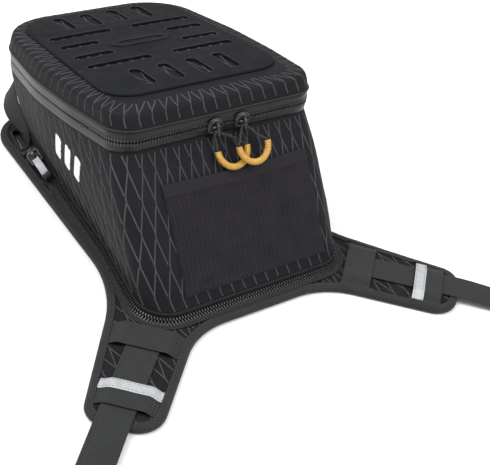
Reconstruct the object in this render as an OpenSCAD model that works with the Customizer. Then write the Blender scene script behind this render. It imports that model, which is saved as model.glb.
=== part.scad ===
// Motorcycle tank bag: a hard-sided top bag zipped to a flat harness pad with two strap arms.
// Millimetres. +Z up, +Y towards the handlebars, +X to the rider's right.
// The underside of the pad lies at z = 0 and x = 0 is the centre line.

/* [Harness pad] */
// Half width of the pad beside the bag
pad_half = 93.5; // [88:0.5:105]
// Front edge of the pad
pad_front = 214; // [208:1:225]
// Rear edge of the pad between the arms
pad_rear = -111; // [-116:1:-106]
// Radius of the pad's front corners
pad_corner_r = 40; // [20:1:55]
// Thickness of the grippy underside fabric
underside_t = 1; // [0.6:0.1:1.2]
// Thickness of the foam core
pad_foam_t = 3; // [2:0.25:4]
// Thickness of the pad's top fabric
pad_top_t = 0.8; // [0.6:0.1:1]
// Width of the binding tape folded over the edge
binding_w = 8; // [6:0.5:10]
// Thickness of the binding tape
binding_t = 0.8; // [0.6:0.1:1]

/* [Strap arms] */
// Angle of each arm, outwards from straight back
arm_angle = 44.5; // [42:0.5:47]
// Sideways position of the arm's root
arm_root_x = 77.9; // [76:0.1:80]
// Lengthwise position of the arm's root
arm_root_y = -83.4; // [-85:0.1:-82]
// Length of the arm from its root to its tip
arm_len = 113; // [108:1:125]
// Width of the mounting webbing
strap_w = 25; // [20:1:27]
// Thickness of the mounting webbing
strap_t = 1.8; // [1.2:0.1:2]
// Distance from the arm's root to the webbing's inner end
strap_start = 20.5; // [20:0.5:24]
// Distance from the arm's root to the webbing's outer end
strap_end = 190; // [150:1:220]
// Start of the inner cross web along the arm
keeper_inner = 19; // [18.5:0.1:22]
// Start of the outer cross web along the arm
keeper_outer = 76.5; // [70:0.5:80]
// Width of each cross web
keeper_w = 23; // [20:1:25]
// Width of the reflective strip
reflector_w = 9; // [6:0.5:10]

/* [Bag base] */
// Rear edge of the bag's bottom seam
base_rear = -96.5; // [-98:0.5:-94]
// Front edge of the bag's bottom seam
base_front = 197; // [192:1:199]
// Height of the bottom seam
base_z = 13; // [13:0.5:15]
// Thickness of the bag's outer fabric
fabric_t = 1; // [0.6:0.1:1.4]
// Thickness of the foam in the walls
foam_t = 3; // [2:0.5:5]
// Thickness of the lining
lining_t = 0.6; // [0.4:0.1:1]
// How far the walls bulge at half their height
wall_bulge = 3; // [0:0.5:4]
// Where the base zip ends on each side, near the front
zip_front = 148; // [146:1:150]

/* [Lid] */
// Rear edge of the rim where the lid zip starts
rim_rear = -26; // [-30:0.5:-22]
// Front edge of the rim
rim_front = 203; // [200:0.5:204]
// Height of the rim at its rear edge
rim_z = 112.8; // [100:0.2:120]
// Fall of the rim for each millimetre forwards
rim_fall = 0.162; // [0.12:0.002:0.18]
// Height of the zip band between bag and lid
zip_band_h = 17.4; // [15:0.2:20]
// Height of the lid's top above the rim
lid_h = 32.2; // [29:0.2:36]

/* [Top panel] */
// Half width of the moulded top panel
panel_half = 78; // [70:1:82]
// How much narrower the panel is at its front, on each side
panel_taper = 5; // [0:1:8]
// Rear edge of the panel
panel_rear = 3; // [0:1:8]
// Front edge of the panel
panel_front = 193; // [185:1:194]
// Thickness of the panel
panel_t = 1.9; // [1.5:0.1:4]
// Width of the lengthwise slots
slot_w = 10; // [8:0.5:12]
// Length of the lengthwise slots
slot_len = 33; // [25:1:36]
// Height of the crosswise slots
cross_slot_w = 8.4; // [6:0.2:10]

/* [Pulls] */
// Sideways position of the left lid slider
left_slider_x = -7; // [-10:0.5:-4]
// Sideways position of the right lid slider
right_slider_x = 17; // [12:0.5:24]
// Radius of the gripping tubes
grip_r = 2.6; // [2:0.1:2.8]
// Radius of the pull cords
cord_r = 1; // [0.7:0.1:1.2]
// Lengthwise position of the base slider
base_slider_y = 138; // [134:1:139]

/* [Hidden] */

// Colours
laminate = [0.17, 0.17, 0.18];
foam_grey = [0.3, 0.3, 0.31];
lining_grey = [0.5, 0.52, 0.54];
webbing = [0.15, 0.17, 0.16];
coated = [0.3, 0.34, 0.32];
rubber_black = [0.07, 0.07, 0.08];
reflective = [0.75, 0.76, 0.78];
metal = [0.45, 0.46, 0.48];
gold = [0.83, 0.6, 0.2];

// Shared small sizes
gap = 0.3;
layer_gap = 1.4;
arc_steps = 8;
min_r = 1;
shapes_fn = 32;

// Plan outlines, left half, from front to rear: [x, y, corner radius]
arm_inner = 32.5;
arm_outer_root = 33.5;
arm_outer_tip = 22;
arm_dir = [-sin(arm_angle), -cos(arm_angle)];
arm_side = [-cos(arm_angle), sin(arm_angle)];
arm_root = [-arm_root_x, arm_root_y];
function on_arm(along, across) = arm_root + along * arm_dir + across * arm_side;
// Where the line through p along u meets the line x = c, and the line y = c
function meet_x(p, u, c) = [c, p.y + u.y * (c - p.x) / u.x];
function meet_y(p, u, c) = [p.x + u.x * (c - p.y) / u.y, c];
tip_outer = on_arm(arm_len, arm_outer_tip);
tip_inner = on_arm(arm_len, -arm_inner);
flare = meet_x(tip_outer, tip_outer - on_arm(31, arm_outer_root), -pad_half);
crotch = meet_y(tip_inner, arm_dir, pad_rear);
pad_plan = [
    [-pad_half, pad_front, pad_corner_r],
    [flare.x, flare.y, 120],
    [tip_outer.x, tip_outer.y, 16],
    [tip_inner.x, tip_inner.y, 20],
    [crotch.x, crotch.y, 60]];
base_plan = [
    [-68, base_front, 36],
    [-76.5, 95, 250],
    [-81, -5, 150],
    [-93, base_rear, 24]];
rim_plan = [
    [-82.5, rim_front, 47],
    [-95, 100, 250],
    [-93.5, 45, 250],
    [-86.5, rim_rear, 20]];
lid_plan = [
    [-80, 205, 46],
    [-90, 100, 250],
    [-90, 45, 250],
    [-86, -21, 22]];
panel_plan = [
    [panel_taper - panel_half, panel_front, 27],
    [-panel_half, panel_rear, 25]];

// Vector helpers
function unit(v) = v / norm(v);
function left_of(v) = [-v.y, v.x];
function turn_sign(u, v) = sign(u.x * v.y - u.y * v.x);
function spin(v, angle) = [v.x * cos(angle) - v.y * sin(angle), v.x * sin(angle) + v.y * cos(angle)];
function xy(p) = [p.x, p.y];
function mix(a, b, f) = [for (i = [0 : len(a) - 1]) a[i] * (1 - f) + b[i] * f];

// A whole outline from its left half, anticlockwise
function both_sides(half) = concat(half, [for (i = [len(half) - 1 : -1 : 0])
    [-half[i].x, half[i].y, half[i].z]]);
// The outline moved inwards by d
function inset(corners, d) = let (n = len(corners)) [for (i = [0 : n - 1]) let (
    a = xy(corners[(i + n - 1) % n]),
    b = xy(corners[i]),
    c = xy(corners[(i + 1) % n]),
    u = left_of(unit(b - a)),
    v = left_of(unit(c - b)),
    p = b + d * (u + v) / (1 + u * v))
    [p.x, p.y, max(min_r, corners[i].z - d * turn_sign(b - a, c - b))]];
// The points of the arc that rounds corner b between a and c
function corner_arc(a, b, c, r) = let (
    back = unit(a - b),
    ahead = unit(c - b),
    half = acos(back * ahead) / 2,
    centre = b + unit(back + ahead) * r / sin(half),
    start = b + back * r / tan(half) - centre,
    sweep = (180 - 2 * half) * turn_sign(b - a, c - b))
    [for (i = [0 : arc_steps]) centre + spin(start, sweep * i / arc_steps)];
function rounded(corners) = let (n = len(corners)) [for (i = [0 : n - 1])
    each corner_arc(xy(corners[(i + n - 1) % n]), xy(corners[i]), xy(corners[(i + 1) % n]), corners[i].z)];
function outline(half, d) = rounded(inset(both_sides(half), d));

// Rings in space: an outline at a height that falls towards the front
function ring(half, d, z, fall = 0) = [for (p = outline(half, d)) [p.x, p.y, z - fall * (p.y - rim_rear)]];
// Wall ring at f of the wall's height, moved inwards by d
function wall_ring(f, d) = ring(mix(base_plan, rim_plan, f), d - wall_bulge * 4 * f * (1 - f),
    base_z * (1 - f) + rim_z * f, rim_fall * f);
// Zip band and lid ring at height h above the rim, moved inwards by d
function lid_ring(h, d) = ring(mix(rim_plan, lid_plan, max(0, h - zip_band_h) / (lid_h - zip_band_h)), d,
    rim_z + h, rim_fall);
function lid_z(y, h) = rim_z + h - rim_fall * (y - rim_rear);

// A solid skinned over rings of equal length; looped joins the last ring to the first
module skin(rings, looped = false) {
    n = len(rings[0]);
    m = len(rings);
    walls = [for (i = [0 : m - (looped ? 1 : 2)]) for (j = [0 : n - 1]) let (
        a = i * n + j,
        b = i * n + (j + 1) % n,
        c = ((i + 1) % m) * n + (j + 1) % n,
        d = ((i + 1) % m) * n + j)
        each [[a, c, b], [a, d, c]]];
    caps = looped ? [] : [[for (j = [0 : n - 1]) j], [for (j = [n - 1 : -1 : 0]) (m - 1) * n + j]];
    polyhedron([for (r = rings) each r], concat(walls, caps), convexity = 8);
}
// A flat plate between two heights, inset from an outline
module plate(half, d, z0, z1) {
    translate([0, 0, z0])
        linear_extrude(z1 - z0)
            polygon(outline(half, d));
}
// A closed loop of rectangular section around the wall or zip band
module wall_tube(f0, f1, d0, d1) {
    levels = 5;
    heights = [f0, for (i = [1 : levels - 1]) i / levels, f1];
    up = [for (i = [0 : levels]) wall_ring(heights[i], d0)];
    down = [for (i = [levels : -1 : 0]) wall_ring(heights[i], d1)];
    skin(concat(up, down), looped = true);
}
module band(h0, h1, d0, d1) {
    skin([lid_ring(h0, d0), lid_ring(h1, d0), lid_ring(h1, d1), lid_ring(h0, d1)], looped = true);
}
// A cup open downwards: side wall from h0 up, top from h1 - t to h1
module cup(h0, h1, d, t) {
    skin([lid_ring(h1 - t, d + t), lid_ring(zip_band_h, d + t), lid_ring(h0, d + t),
        lid_ring(h0, d), lid_ring(zip_band_h, d), lid_ring(h1, d)]);
}
// A loop around the base seam that stops at the zip's front ends; section lists [offset outwards, z]
module base_loop(section) {
    intersection() {
        skin([for (s = section) ring(base_plan, -s[0], s[1])], looped = true);
        translate([-150, -150, 0])
            cube([300, 150 + zip_front, 60]);
    }
}
// Keeps the left half's shapes and adds the right half's
module mirrored() {
    children();
    mirror([1, 0, 0])
        children();
}

// Smooth curve through points, n steps for each stretch
function spline(pts, n) = let (m = len(pts) - 1)
    [for (i = [0 : m - 1]) for (k = [0 : (i == m - 1 ? n : n - 1)])
    let (
        t = k / n,
        p0 = pts[max(0, i - 1)],
        p1 = pts[i],
        p2 = pts[i + 1],
        p3 = pts[min(m, i + 2)])
        0.5 * (2 * p1 + t * (p2 - p0) + t * t * (2 * p0 - 5 * p1 + 4 * p2 - p3)
            + t * t * t * (3 * p1 - p0 - 3 * p2 + p3))];
function tangent(path, i) = unit(path[min(len(path) - 1, i + 1)] - path[max(0, i - 1)]);
// A round cord along a path
module cord(path, r, sides) {
    skin([for (i = [0 : len(path) - 1]) let (
        t = tangent(path, i),
        u = unit(cross(t, [0.3, 0.8, -0.6])),
        v = cross(t, u))
        [for (j = [0 : sides - 1]) path[i] + r * (cos(360 * j / sides) * u + sin(360 * j / sides) * v)]]);
}

// Harness pad
front_slot = [-79, 172];
module front_slots() {
    slot_l = 24;
    slot_r = 4.2;
    mirrored()
        translate([front_slot.x, front_slot.y, -1])
            rotate(-9)
                linear_extrude(10)
                    union() {
                        square([2 * slot_r, slot_l], center = true);
                        translate([0, slot_l / 2])
                            circle(slot_r, $fn = shapes_fn);
                        translate([0, -slot_l / 2])
                            circle(slot_r, $fn = shapes_fn);
                    }
}
foam_z = underside_t;
top_z = foam_z + pad_foam_t;
pad_z = top_z + pad_top_t;
binding_z = pad_z + binding_t;
edge_t = 1.4;
module pad_underside() {
    color(rubber_black)
        difference() {
            plate(pad_plan, binding_w + gap / 2, 0, underside_t);
            front_slots();
        }
}
module pad_foam() {
    color(foam_grey)
        difference() {
            plate(pad_plan, edge_t, foam_z, top_z);
            front_slots();
        }
}
module pad_top() {
    color(laminate)
        difference() {
            plate(pad_plan, edge_t, top_z, pad_z);
            front_slots();
        }
}
module pad_binding() {
    color(webbing)
        difference() {
            plate(pad_plan, 0, 0, binding_z);
            plate(pad_plan, edge_t, underside_t, pad_z);
            plate(pad_plan, binding_w, -1, binding_z + 1);
        }
}

// Everything on an arm is drawn along +X from the arm's root, then turned into place
module on_left_arm() {
    translate([arm_root.x, arm_root.y, 0])
        rotate(atan2(arm_dir.y, arm_dir.x))
            children();
}
strap_z = binding_z + gap;
keeper_z = strap_z + strap_t + gap;
keeper_t = 1.3;
keeper_half = 23.6;
keeper_open = 14;
foot_w = 4;
// Section across the arm of a web of thickness t, from feet at one height over the strap at another
module keeper_section(t, foot, roof) {
    polygon([[-keeper_half, foot], [-keeper_half + foot_w, foot], [-keeper_open, roof], [keeper_open, roof],
        [keeper_half - foot_w, foot], [keeper_half, foot], [keeper_half, foot + t],
        [keeper_half - foot_w, foot + t], [keeper_open, roof + t], [-keeper_open, roof + t],
        [-keeper_half + foot_w, foot + t], [-keeper_half, foot + t]]);
}
module keeper(start, w, t, foot, roof) {
    on_left_arm()
        translate([start, 0, 0])
            rotate([90, 0, 90])
                linear_extrude(w)
                    keeper_section(t, foot, roof);
}
// The inner web's feet lie on the pad's cloth, the outer web's on its binding
outer_foot = binding_z + 0.05;
module left_inner_keeper() {
    color(webbing)
        keeper(keeper_inner, keeper_w, keeper_t, pad_z, keeper_z);
}
module left_outer_keeper() {
    color(webbing)
        keeper(keeper_outer, keeper_w, keeper_t, outer_foot, keeper_z);
}
module left_reflector() {
    lift = keeper_t + 0.05;
    color(reflective)
        keeper(keeper_outer, reflector_w, 0.5, outer_foot + lift, keeper_z + lift);
}
module right_inner_keeper() {
    mirror([1, 0, 0])
        left_inner_keeper();
}
module right_outer_keeper() {
    mirror([1, 0, 0])
        left_outer_keeper();
}
module right_reflector() {
    mirror([1, 0, 0])
        left_reflector();
}
// Mounting webbing with a folded end that stops it pulling out
module left_strap() {
    fold_len = 22;
    color(webbing)
        on_left_arm() {
            translate([strap_start, -strap_w / 2, strap_z])
                cube([strap_end - strap_start, strap_w, strap_t]);
            translate([strap_end - fold_len, -strap_w / 2, strap_z + strap_t])
                cube([fold_len, strap_w, strap_t]);
        }
}
module right_strap() {
    mirror([1, 0, 0])
        left_strap();
}

// Fabric hinge between pad and bag at the front
module front_flap() {
    color(laminate)
        translate([-52, base_front - 9, pad_z])
            cube([104, 18, binding_t]);
}

// Base zip: tape and coil halves, one on the pad and one on the bag
coil_z = 7.2;
coil_h = 3;
coil_split = 3.4;
coil_half_w = 3.4;
module base_zip_tape_pad() {
    outer = coil_split + coil_half_w;
    color(webbing)
        base_loop([[outer - 0.6, binding_z + 0.1], [outer + 2.6, binding_z + 0.1],
            [outer + 2.6, binding_z + 0.9], [outer - 0.6, coil_z - 0.05]]);
}
module base_zip_coil_pad() {
    color(metal)
        base_loop([[coil_split + gap / 2, coil_z], [coil_split + coil_half_w, coil_z],
            [coil_split + coil_half_w, coil_z + coil_h * 0.6], [coil_split + gap / 2, coil_z + coil_h]]);
}
module base_zip_coil_bag() {
    color(metal)
        base_loop([[coil_split - coil_half_w, coil_z], [coil_split - gap / 2, coil_z],
            [coil_split - gap / 2, coil_z + coil_h], [coil_split - coil_half_w, coil_z + coil_h]]);
}
module base_zip_tape_bag() {
    color(webbing)
        base_loop([[coil_split - coil_half_w - 3, coil_z + 1.2],
            [coil_split - coil_half_w - 0.05, coil_z + 1.2],
            [-0.2, base_z - 0.6], [-1.2, base_z - 0.6]]);
}
// Patches sewn over the zip's front ends
module zip_end_patches() {
    color(webbing)
        mirrored()
            translate([-83, zip_front + 0.2, binding_z])
                cube([11, 4.4, 1.1]);
}
module base_zip_stops() {
    color(reflective)
        mirrored()
            translate([-86.5, zip_front - 2, binding_z])
                cube([2.6, 5, 1.2]);
}

// Base zip slider on the left side: x inwards, y forwards, z away from the tilted zip
slider_run = [-0.0576, -0.9983];
slider_tilt = 35;
slider_spot = [-72.9, base_slider_y];
module at_base_slider() {
    translate([slider_spot.x, slider_spot.y, 0])
        rotate(atan2(slider_run.y, slider_run.x) + 90)
            rotate([0, -slider_tilt, 0])
                children();
}
body_low = 12;
body_high = 14.4;
pivot_h = 16.3;
pull_x = 0.4;
module base_slider() {
    body = [8.2, 16, body_high - body_low];
    bridge = [3, 12, 3.8];
    color(metal)
        at_base_slider() {
            translate([pull_x - 0.4 - body.x / 2, -body.y / 2, body_low])
                cube(body);
            difference() {
                translate([pull_x - bridge.x / 2, -bridge.y / 2, body_high])
                    cube(bridge);
                translate([pull_x - bridge.x, 0, pivot_h])
                    rotate([0, 90, 0])
                        cylinder(h = 2 * bridge.x, r = 1.25, $fn = shapes_fn);
            }
        }
}
// Wire tab hooked through the slider's bridge, lying back along the zip
tab_reach = 16;
module base_slider_tab() {
    wire = 1.8;
    half = 5;
    color(metal)
        at_base_slider()
            translate([pull_x, 0, pivot_h]) {
                translate([-half - wire / 2, 0, 0])
                    rotate([0, 90, 0])
                        cylinder(h = 2 * half + wire, r = wire / 2, $fn = shapes_fn);
                for (side = [-1, 1])
                    translate([side * half - wire / 2, -tab_reach - wire / 2, -wire / 2])
                        cube([wire, tab_reach + wire, wire]);
                translate([-half, -tab_reach - wire / 2, -wire / 2])
                    cube([2 * half, wire, wire]);
            }
}
// Folded webbing loop through the tab
loop_w = 7.6;
loop_t = 1.3;
loop_r = 2.2;
loop_len = 24;
loop_near = -tab_reach + loop_r;
module stadium(r) {
    hull() {
        circle(r, $fn = shapes_fn);
        translate([-loop_len, 0])
            circle(r, $fn = shapes_fn);
    }
}
module base_pull_loop() {
    color(webbing)
        at_base_slider()
            translate([pull_x - loop_w / 2, loop_near, pivot_h])
                rotate([90, 0, 90])
                    linear_extrude(loop_w)
                        difference() {
                            stadium(loop_r + loop_t);
                            stadium(loop_r);
                        }
}
module base_pull_reflector() {
    color(reflective)
        at_base_slider()
            translate([pull_x - loop_w / 2 + 0.6, loop_near - loop_len + 1, pivot_h + loop_r + loop_t])
                cube([loop_w - 1.2, loop_len - 2, 0.4]);
}

// Bag
module floor_board() {
    color(foam_grey)
        plate(base_plan, 5.2, 7.4, base_z + 1);
}
module floor_fabric() {
    color(laminate)
        plate(base_plan, 5.2, 6.4, 7.4);
}
module bag_shell() {
    color(laminate)
        wall_tube(0, 1, 0, fabric_t);
}
module bag_foam() {
    color(foam_grey)
        wall_tube(0.02, 0.995, fabric_t + layer_gap, fabric_t + foam_t);
}
module bag_lining() {
    color(lining_grey)
        wall_tube(0.02, 0.995, fabric_t + foam_t + layer_gap, fabric_t + foam_t + layer_gap + lining_t);
}
// Bead sewn into the bottom seam
module bottom_welt() {
    color(webbing)
        skin([ring(base_plan, -0.8, base_z - 0.5), ring(base_plan, -0.8, base_z - 0.05),
            ring(base_plan, fabric_t + 3, base_z - 0.05), ring(base_plan, fabric_t + 3, base_z - 0.5)],
            looped = true);
}

// Rear face: its slope, and a frame on it
face_low = [base_rear, base_z];
face_high = [rim_rear, rim_z];
face_angle = atan2(face_high.y - face_low.y, face_high.x - face_low.x);
// Places children drawn with x across, y up the face and z outwards
module on_rear_face() {
    translate([0, face_low.x, face_low.y])
        rotate([face_angle, 0, 0])
            children();
}
pocket_x = [-60, 70];
pocket_low = 10;
pocket_high = 96;
hem_h = 11;
// The part of a wall layer behind a window on the rear face
module face_patch(x0, x1, s0, s1, d0, d1) {
    intersection() {
        wall_tube(0, 1, d0, d1);
        on_rear_face()
            translate([x0, s0, -20])
                cube([x1 - x0, s1 - s0, 50]);
    }
}
module pocket_panel() {
    color(laminate)
        face_patch(pocket_x[0], pocket_x[1], pocket_low, pocket_high, -1.3, -0.1);
}
module pocket_hem() {
    color(webbing)
        face_patch(pocket_x[0], pocket_x[1], pocket_high - hem_h, pocket_high, -2.1, -1.4);
}
// Plain badge of three leaning bars on the left side
badge_y = 66;
badge_z = 66;
badge_pitch = 17;
module side_badge() {
    color(reflective)
        for (i = [0 : 2])
            intersection() {
                wall_tube(0, 1, -0.6, -0.05);
                translate([-120, badge_y - badge_pitch * i, badge_z])
                    rotate([18, 0, 0])
                        cube([60, 9, 26], center = true);
            }
}

// Carrying handle at the bag's front corners
handle_w = 25;
handle_t = 1.6;
handle_left = [[-76, 174, 12.6], [-76.5, 174, 17], [-80, 178, 27], [-81, 187, 37],
    [-75, 198.5, 45], [-59, 208.5, 50], [-36, 215, 54], [0, 217, 56]];
handle_reach = 83;
handle_path = spline(concat(handle_left, [for (i = [len(handle_left) - 2 : -1 : 0])
    [-handle_left[i].x, handle_left[i].y, handle_left[i].z]]), 4);
module front_handle() {
    color(webbing)
        skin([for (i = [0 : len(handle_path) - 1]) let (
            p = handle_path[i],
            out = unit([p.x, handle_reach * (1 - 1.25 * pow(p.x / handle_reach, 2)), 0]),
            across = unit(cross(tangent(handle_path, i), out)),
            face = unit(cross(across, tangent(handle_path, i))),
            w = across * handle_w / 2,
            t = face * handle_t / 2)
            [p - w - t, p - w + t, p + w + t, p + w - t]]);
}
// Folded ends that are sewn into the bag's seam under the handle
module handle_anchors() {
    color(webbing)
        mirrored()
            translate([-74.4, 174 - handle_w / 2, 6.4])
                cube([handle_t, handle_w, 3.2]);
}

// Lid zip: band halves split at mid height, with the coil behind
split_h = zip_band_h / 2;
zip_out = -0.7;
zip_in = 0.8;
module lid_zip_tape_lower() {
    color(coated)
        band(0.1, split_h - gap / 2, zip_out, zip_in);
}
module lid_zip_tape_upper() {
    color(coated)
        band(split_h + gap / 2, zip_band_h, zip_out, zip_in);
}
module lid_zip_coil_lower() {
    color(rubber_black)
        band(split_h - 2.6, split_h - gap / 2, zip_in + 0.1, zip_in + 2.2);
}
module lid_zip_coil_upper() {
    color(rubber_black)
        band(split_h + gap / 2, split_h + 2.6, zip_in + 0.1, zip_in + 2.2);
}

// Lid
lid_skirt_h = zip_band_h + 0.1;
module lid_shell() {
    color(laminate)
        skin([lid_ring(lid_h - fabric_t, fabric_t), lid_ring(lid_skirt_h, fabric_t),
            lid_ring(lid_skirt_h, -0.9),
            lid_ring(lid_h - 1, -0.4), lid_ring(lid_h, 1)]);
}
module lid_foam() {
    color(foam_grey)
        cup(lid_skirt_h - 3, lid_h - fabric_t - layer_gap, fabric_t + layer_gap, foam_t);
}
module lid_lining() {
    inner = fabric_t + foam_t + 2 * layer_gap;
    color(lining_grey)
        cup(lid_skirt_h - 3, lid_h - inner, inner, lining_t);
}
module lid_piping() {
    color(webbing)
        skin([lid_ring(lid_skirt_h, -1), lid_ring(lid_skirt_h, -1.9), lid_ring(lid_skirt_h + 1.6, -1.9),
            lid_ring(lid_skirt_h + 1.6, -1)], looped = true);
}

// Moulded top panel, drawn flat with y along the lid and laid on its slope
module on_lid() {
    translate([0, 0, lid_z(0, lid_h)])
        rotate([-atan(rim_fall), 0, 0])
            children();
}
lengthwise_x = [-37.5, -12.5, 12.5, 37.5];
end_slot_y = [panel_rear + 12, panel_front - 6 - slot_len];
cross_slots = [[67, 10], [90, 32], [116, 32], [138, 10]];
cross_slot_end = 66;
module slot(w, l) {
    cut = min(w, l) * 0.3;
    polygon([[cut, 0], [w - cut, 0], [w, cut], [w, l - cut],
        [w - cut, l], [cut, l], [0, l - cut], [0, cut]]);
}
module top_panel() {
    color(rubber_black)
        on_lid()
            translate([0, 0, 0.05])
                linear_extrude(panel_t)
                    difference() {
                        polygon(outline(panel_plan, 0));
                        for (x = lengthwise_x, y = end_slot_y)
                            translate([x - slot_w / 2, y])
                                slot(slot_w, slot_len);
                        for (s = cross_slots, side = [0, 1])
                            mirror([side, 0])
                                translate([s[1], s[0] - cross_slot_w / 2])
                                    slot(cross_slot_end - s[1], cross_slot_w);
                    }
}
// Plain raised lozenge in the middle of the panel
module top_emblem() {
    color(rubber_black)
        on_lid()
            translate([0, 0, 0.05 + panel_t])
                linear_extrude(1.2)
                    difference() {
                        polygon([[-28, 103], [-20, 96], [20, 96], [28, 103], [20, 110], [-20, 110]]);
                        polygon([[-22, 103], [-17, 99], [17, 99], [22, 103], [17, 107], [-17, 107]]);
                    }
}

// Lid sliders on the rear stretch of the lid zip
slider_h = 12;
slider_half_w = 5.5;
eye_y = rim_rear - 6.6;
eye_z = rim_z + split_h - 3.5;
module lid_slider(x) {
    color(metal)
        translate([x, 0, 0]) {
            translate([-slider_half_w, rim_rear + zip_out - 3.2, rim_z + split_h - slider_h / 2])
                cube([2 * slider_half_w, 3.2 - gap, slider_h]);
            difference() {
                translate([-1.2, eye_y - 2.7, eye_z - 2.7])
                    cube([2.4, 5.6, 7.5]);
                translate([-5, eye_y, eye_z])
                    rotate([0, 90, 0])
                        cylinder(h = 10, r = 1.8, $fn = shapes_fn);
            }
        }
}
// Path of a hanging grip on the rear face: [x, up the face, outwards]
function face_point(x, s, n) = [x, face_low.x + s * cos(face_angle) - n * sin(face_angle),
    face_low.y + s * sin(face_angle) + n * cos(face_angle)];
grip_half = 13;
grip_drop = 14;
grip_top = 108.5;
function grip_path(x, n) = [for (i = [0 : 12]) let (a = 180 * i / 12)
    face_point(x - grip_half * cos(a), grip_top - grip_drop * sin(a), n)];
module pull_grip(x, n) {
    color(gold)
        cord(grip_path(x, n), grip_r, 10);
}
// Cord from one end of a grip through its slider's eye to the other end, standing out by bow on the way
cord_start = grip_top + 0.9;
module pull_cord(slider_x, x, n, bow) {
    color(rubber_black)
        cord(spline([face_point(x - grip_half, cord_start, n),
            [(slider_x + x - grip_half) / 2 - 1, eye_y - bow, eye_z - 6],
            [slider_x - 2.6, eye_y - 0.4, eye_z - 1],
            [slider_x, eye_y, eye_z],
            [slider_x + 2.6, eye_y - 0.4, eye_z - 1],
            [(slider_x + x + grip_half) / 2 + 1, eye_y - bow, eye_z - 6],
            face_point(x + grip_half, cord_start, n)], 3), cord_r, 8);
}
left_grip_x = 3;
right_grip_x = 18.5;
left_grip_n = 7.4;
right_grip_n = 13.2;
left_bow = 2;
right_bow = 5.6;
module left_lid_slider() {
    lid_slider(left_slider_x);
}
module right_lid_slider() {
    lid_slider(right_slider_x);
}
module left_pull_grip() {
    pull_grip(left_grip_x, left_grip_n);
}
module right_pull_grip() {
    pull_grip(right_grip_x, right_grip_n);
}
module left_pull_cord() {
    pull_cord(left_slider_x, left_grip_x, left_grip_n, left_bow);
}
module right_pull_cord() {
    pull_cord(right_slider_x, right_grip_x, right_grip_n, right_bow);
}

pad_underside();
pad_foam();
pad_top();
pad_binding();
left_inner_keeper();
left_outer_keeper();
right_inner_keeper();
right_outer_keeper();
left_reflector();
right_reflector();
left_strap();
right_strap();
front_flap();
base_zip_tape_pad();
base_zip_coil_pad();
zip_end_patches();
base_zip_stops();
base_slider();
base_slider_tab();
base_pull_loop();
base_pull_reflector();
floor_board();
floor_fabric();
bag_shell();
bag_foam();
bag_lining();
bottom_welt();
base_zip_tape_bag();
base_zip_coil_bag();
pocket_panel();
pocket_hem();
side_badge();
front_handle();
handle_anchors();
lid_zip_tape_lower();
lid_zip_coil_lower();
lid_zip_tape_upper();
lid_zip_coil_upper();
lid_shell();
lid_foam();
lid_lining();
lid_piping();
top_panel();
top_emblem();
left_lid_slider();
left_pull_cord();
left_pull_grip();
right_lid_slider();
right_pull_cord();
right_pull_grip();
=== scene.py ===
import math

import bmesh
import bpy
import numpy as np
from mathutils import Matrix, Vector
from mathutils.geometry import delaunay_2d_cdt


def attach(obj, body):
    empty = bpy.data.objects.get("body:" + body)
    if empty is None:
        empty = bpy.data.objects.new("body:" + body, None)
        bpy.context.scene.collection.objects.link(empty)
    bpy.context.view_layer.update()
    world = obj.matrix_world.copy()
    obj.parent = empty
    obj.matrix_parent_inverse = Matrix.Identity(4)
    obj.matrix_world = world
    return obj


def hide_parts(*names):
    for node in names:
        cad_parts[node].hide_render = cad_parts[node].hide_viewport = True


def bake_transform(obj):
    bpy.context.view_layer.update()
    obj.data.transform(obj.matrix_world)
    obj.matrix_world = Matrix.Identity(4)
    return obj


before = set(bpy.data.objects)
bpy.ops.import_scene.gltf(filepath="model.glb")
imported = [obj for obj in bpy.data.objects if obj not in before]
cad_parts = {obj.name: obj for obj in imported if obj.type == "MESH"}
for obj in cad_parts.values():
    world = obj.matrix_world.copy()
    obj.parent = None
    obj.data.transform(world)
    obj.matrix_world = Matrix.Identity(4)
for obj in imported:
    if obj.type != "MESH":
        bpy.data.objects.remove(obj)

# The tank bag's looks. Lengths are millimetres until a mesh is made; +Y is forwards and +Z up.
MM = 0.001
UP = (0, 0, 1)
PI = math.pi
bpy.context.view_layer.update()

# ---------------------------------------------------------------- driving dimensions
PAD_HALF, PAD_FRONT, PAD_REAR, PAD_CORNER_R = 93.5, 214.0, -111.0, 40.0
PAD_TOP_Z, BINDING_W = 4.8, 8.0
ARM_ANGLE, ARM_ROOT, ARM_LEN = math.radians(44.5), np.array([-77.9, -83.4]), 113.0
ARM_INNER, ARM_OUTER_ROOT, ARM_OUTER_TIP = 32.5, 33.5, 22.0
ARM_TAPER_START, FLARE_R, TIP_OUTER_R, TIP_INNER_R, CROTCH_R = 31, 120, 16, 20, 60
STRAP_W, STRAP_T, STRAP_START, STRAP_END, STRAP_Z = 25.0, 1.8, 20.5, 190.0, 6.8
KEEPER_W, KEEPER_INNER, KEEPER_OUTER, KEEPER_ROOF = 23.0, 19.0, 76.5, 8.65
REFLECTOR_W = 9.0
FRONT_SLOT, SLOT_LEAN = np.array([-79.0, 172.0]), math.radians(-9)
BASE_Z, RIM_Z, RIM_REAR, RIM_FALL, WALL_BULGE = 13.0, 112.8, -26.0, 0.162, 3.0
BASE_REAR, ZIP_FRONT = -96.5, 148.0
BAND_H, LID_H = 17.4, 32.2     # the lid zip's height, and the lid's top, over the bag's rim
COIL_SPLIT, COIL_Z, COIL_H = 3.4, 7.2, 3.0
PANEL_T, CLOTH_T = 1.9, 0.7

ARM_DIR = np.array([-math.sin(ARM_ANGLE), -math.cos(ARM_ANGLE)])
ARM_SIDE = np.array([-math.cos(ARM_ANGLE), math.sin(ARM_ANGLE)])


def on_arm(along, across):
    return ARM_ROOT + along * ARM_DIR + across * ARM_SIDE


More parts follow.
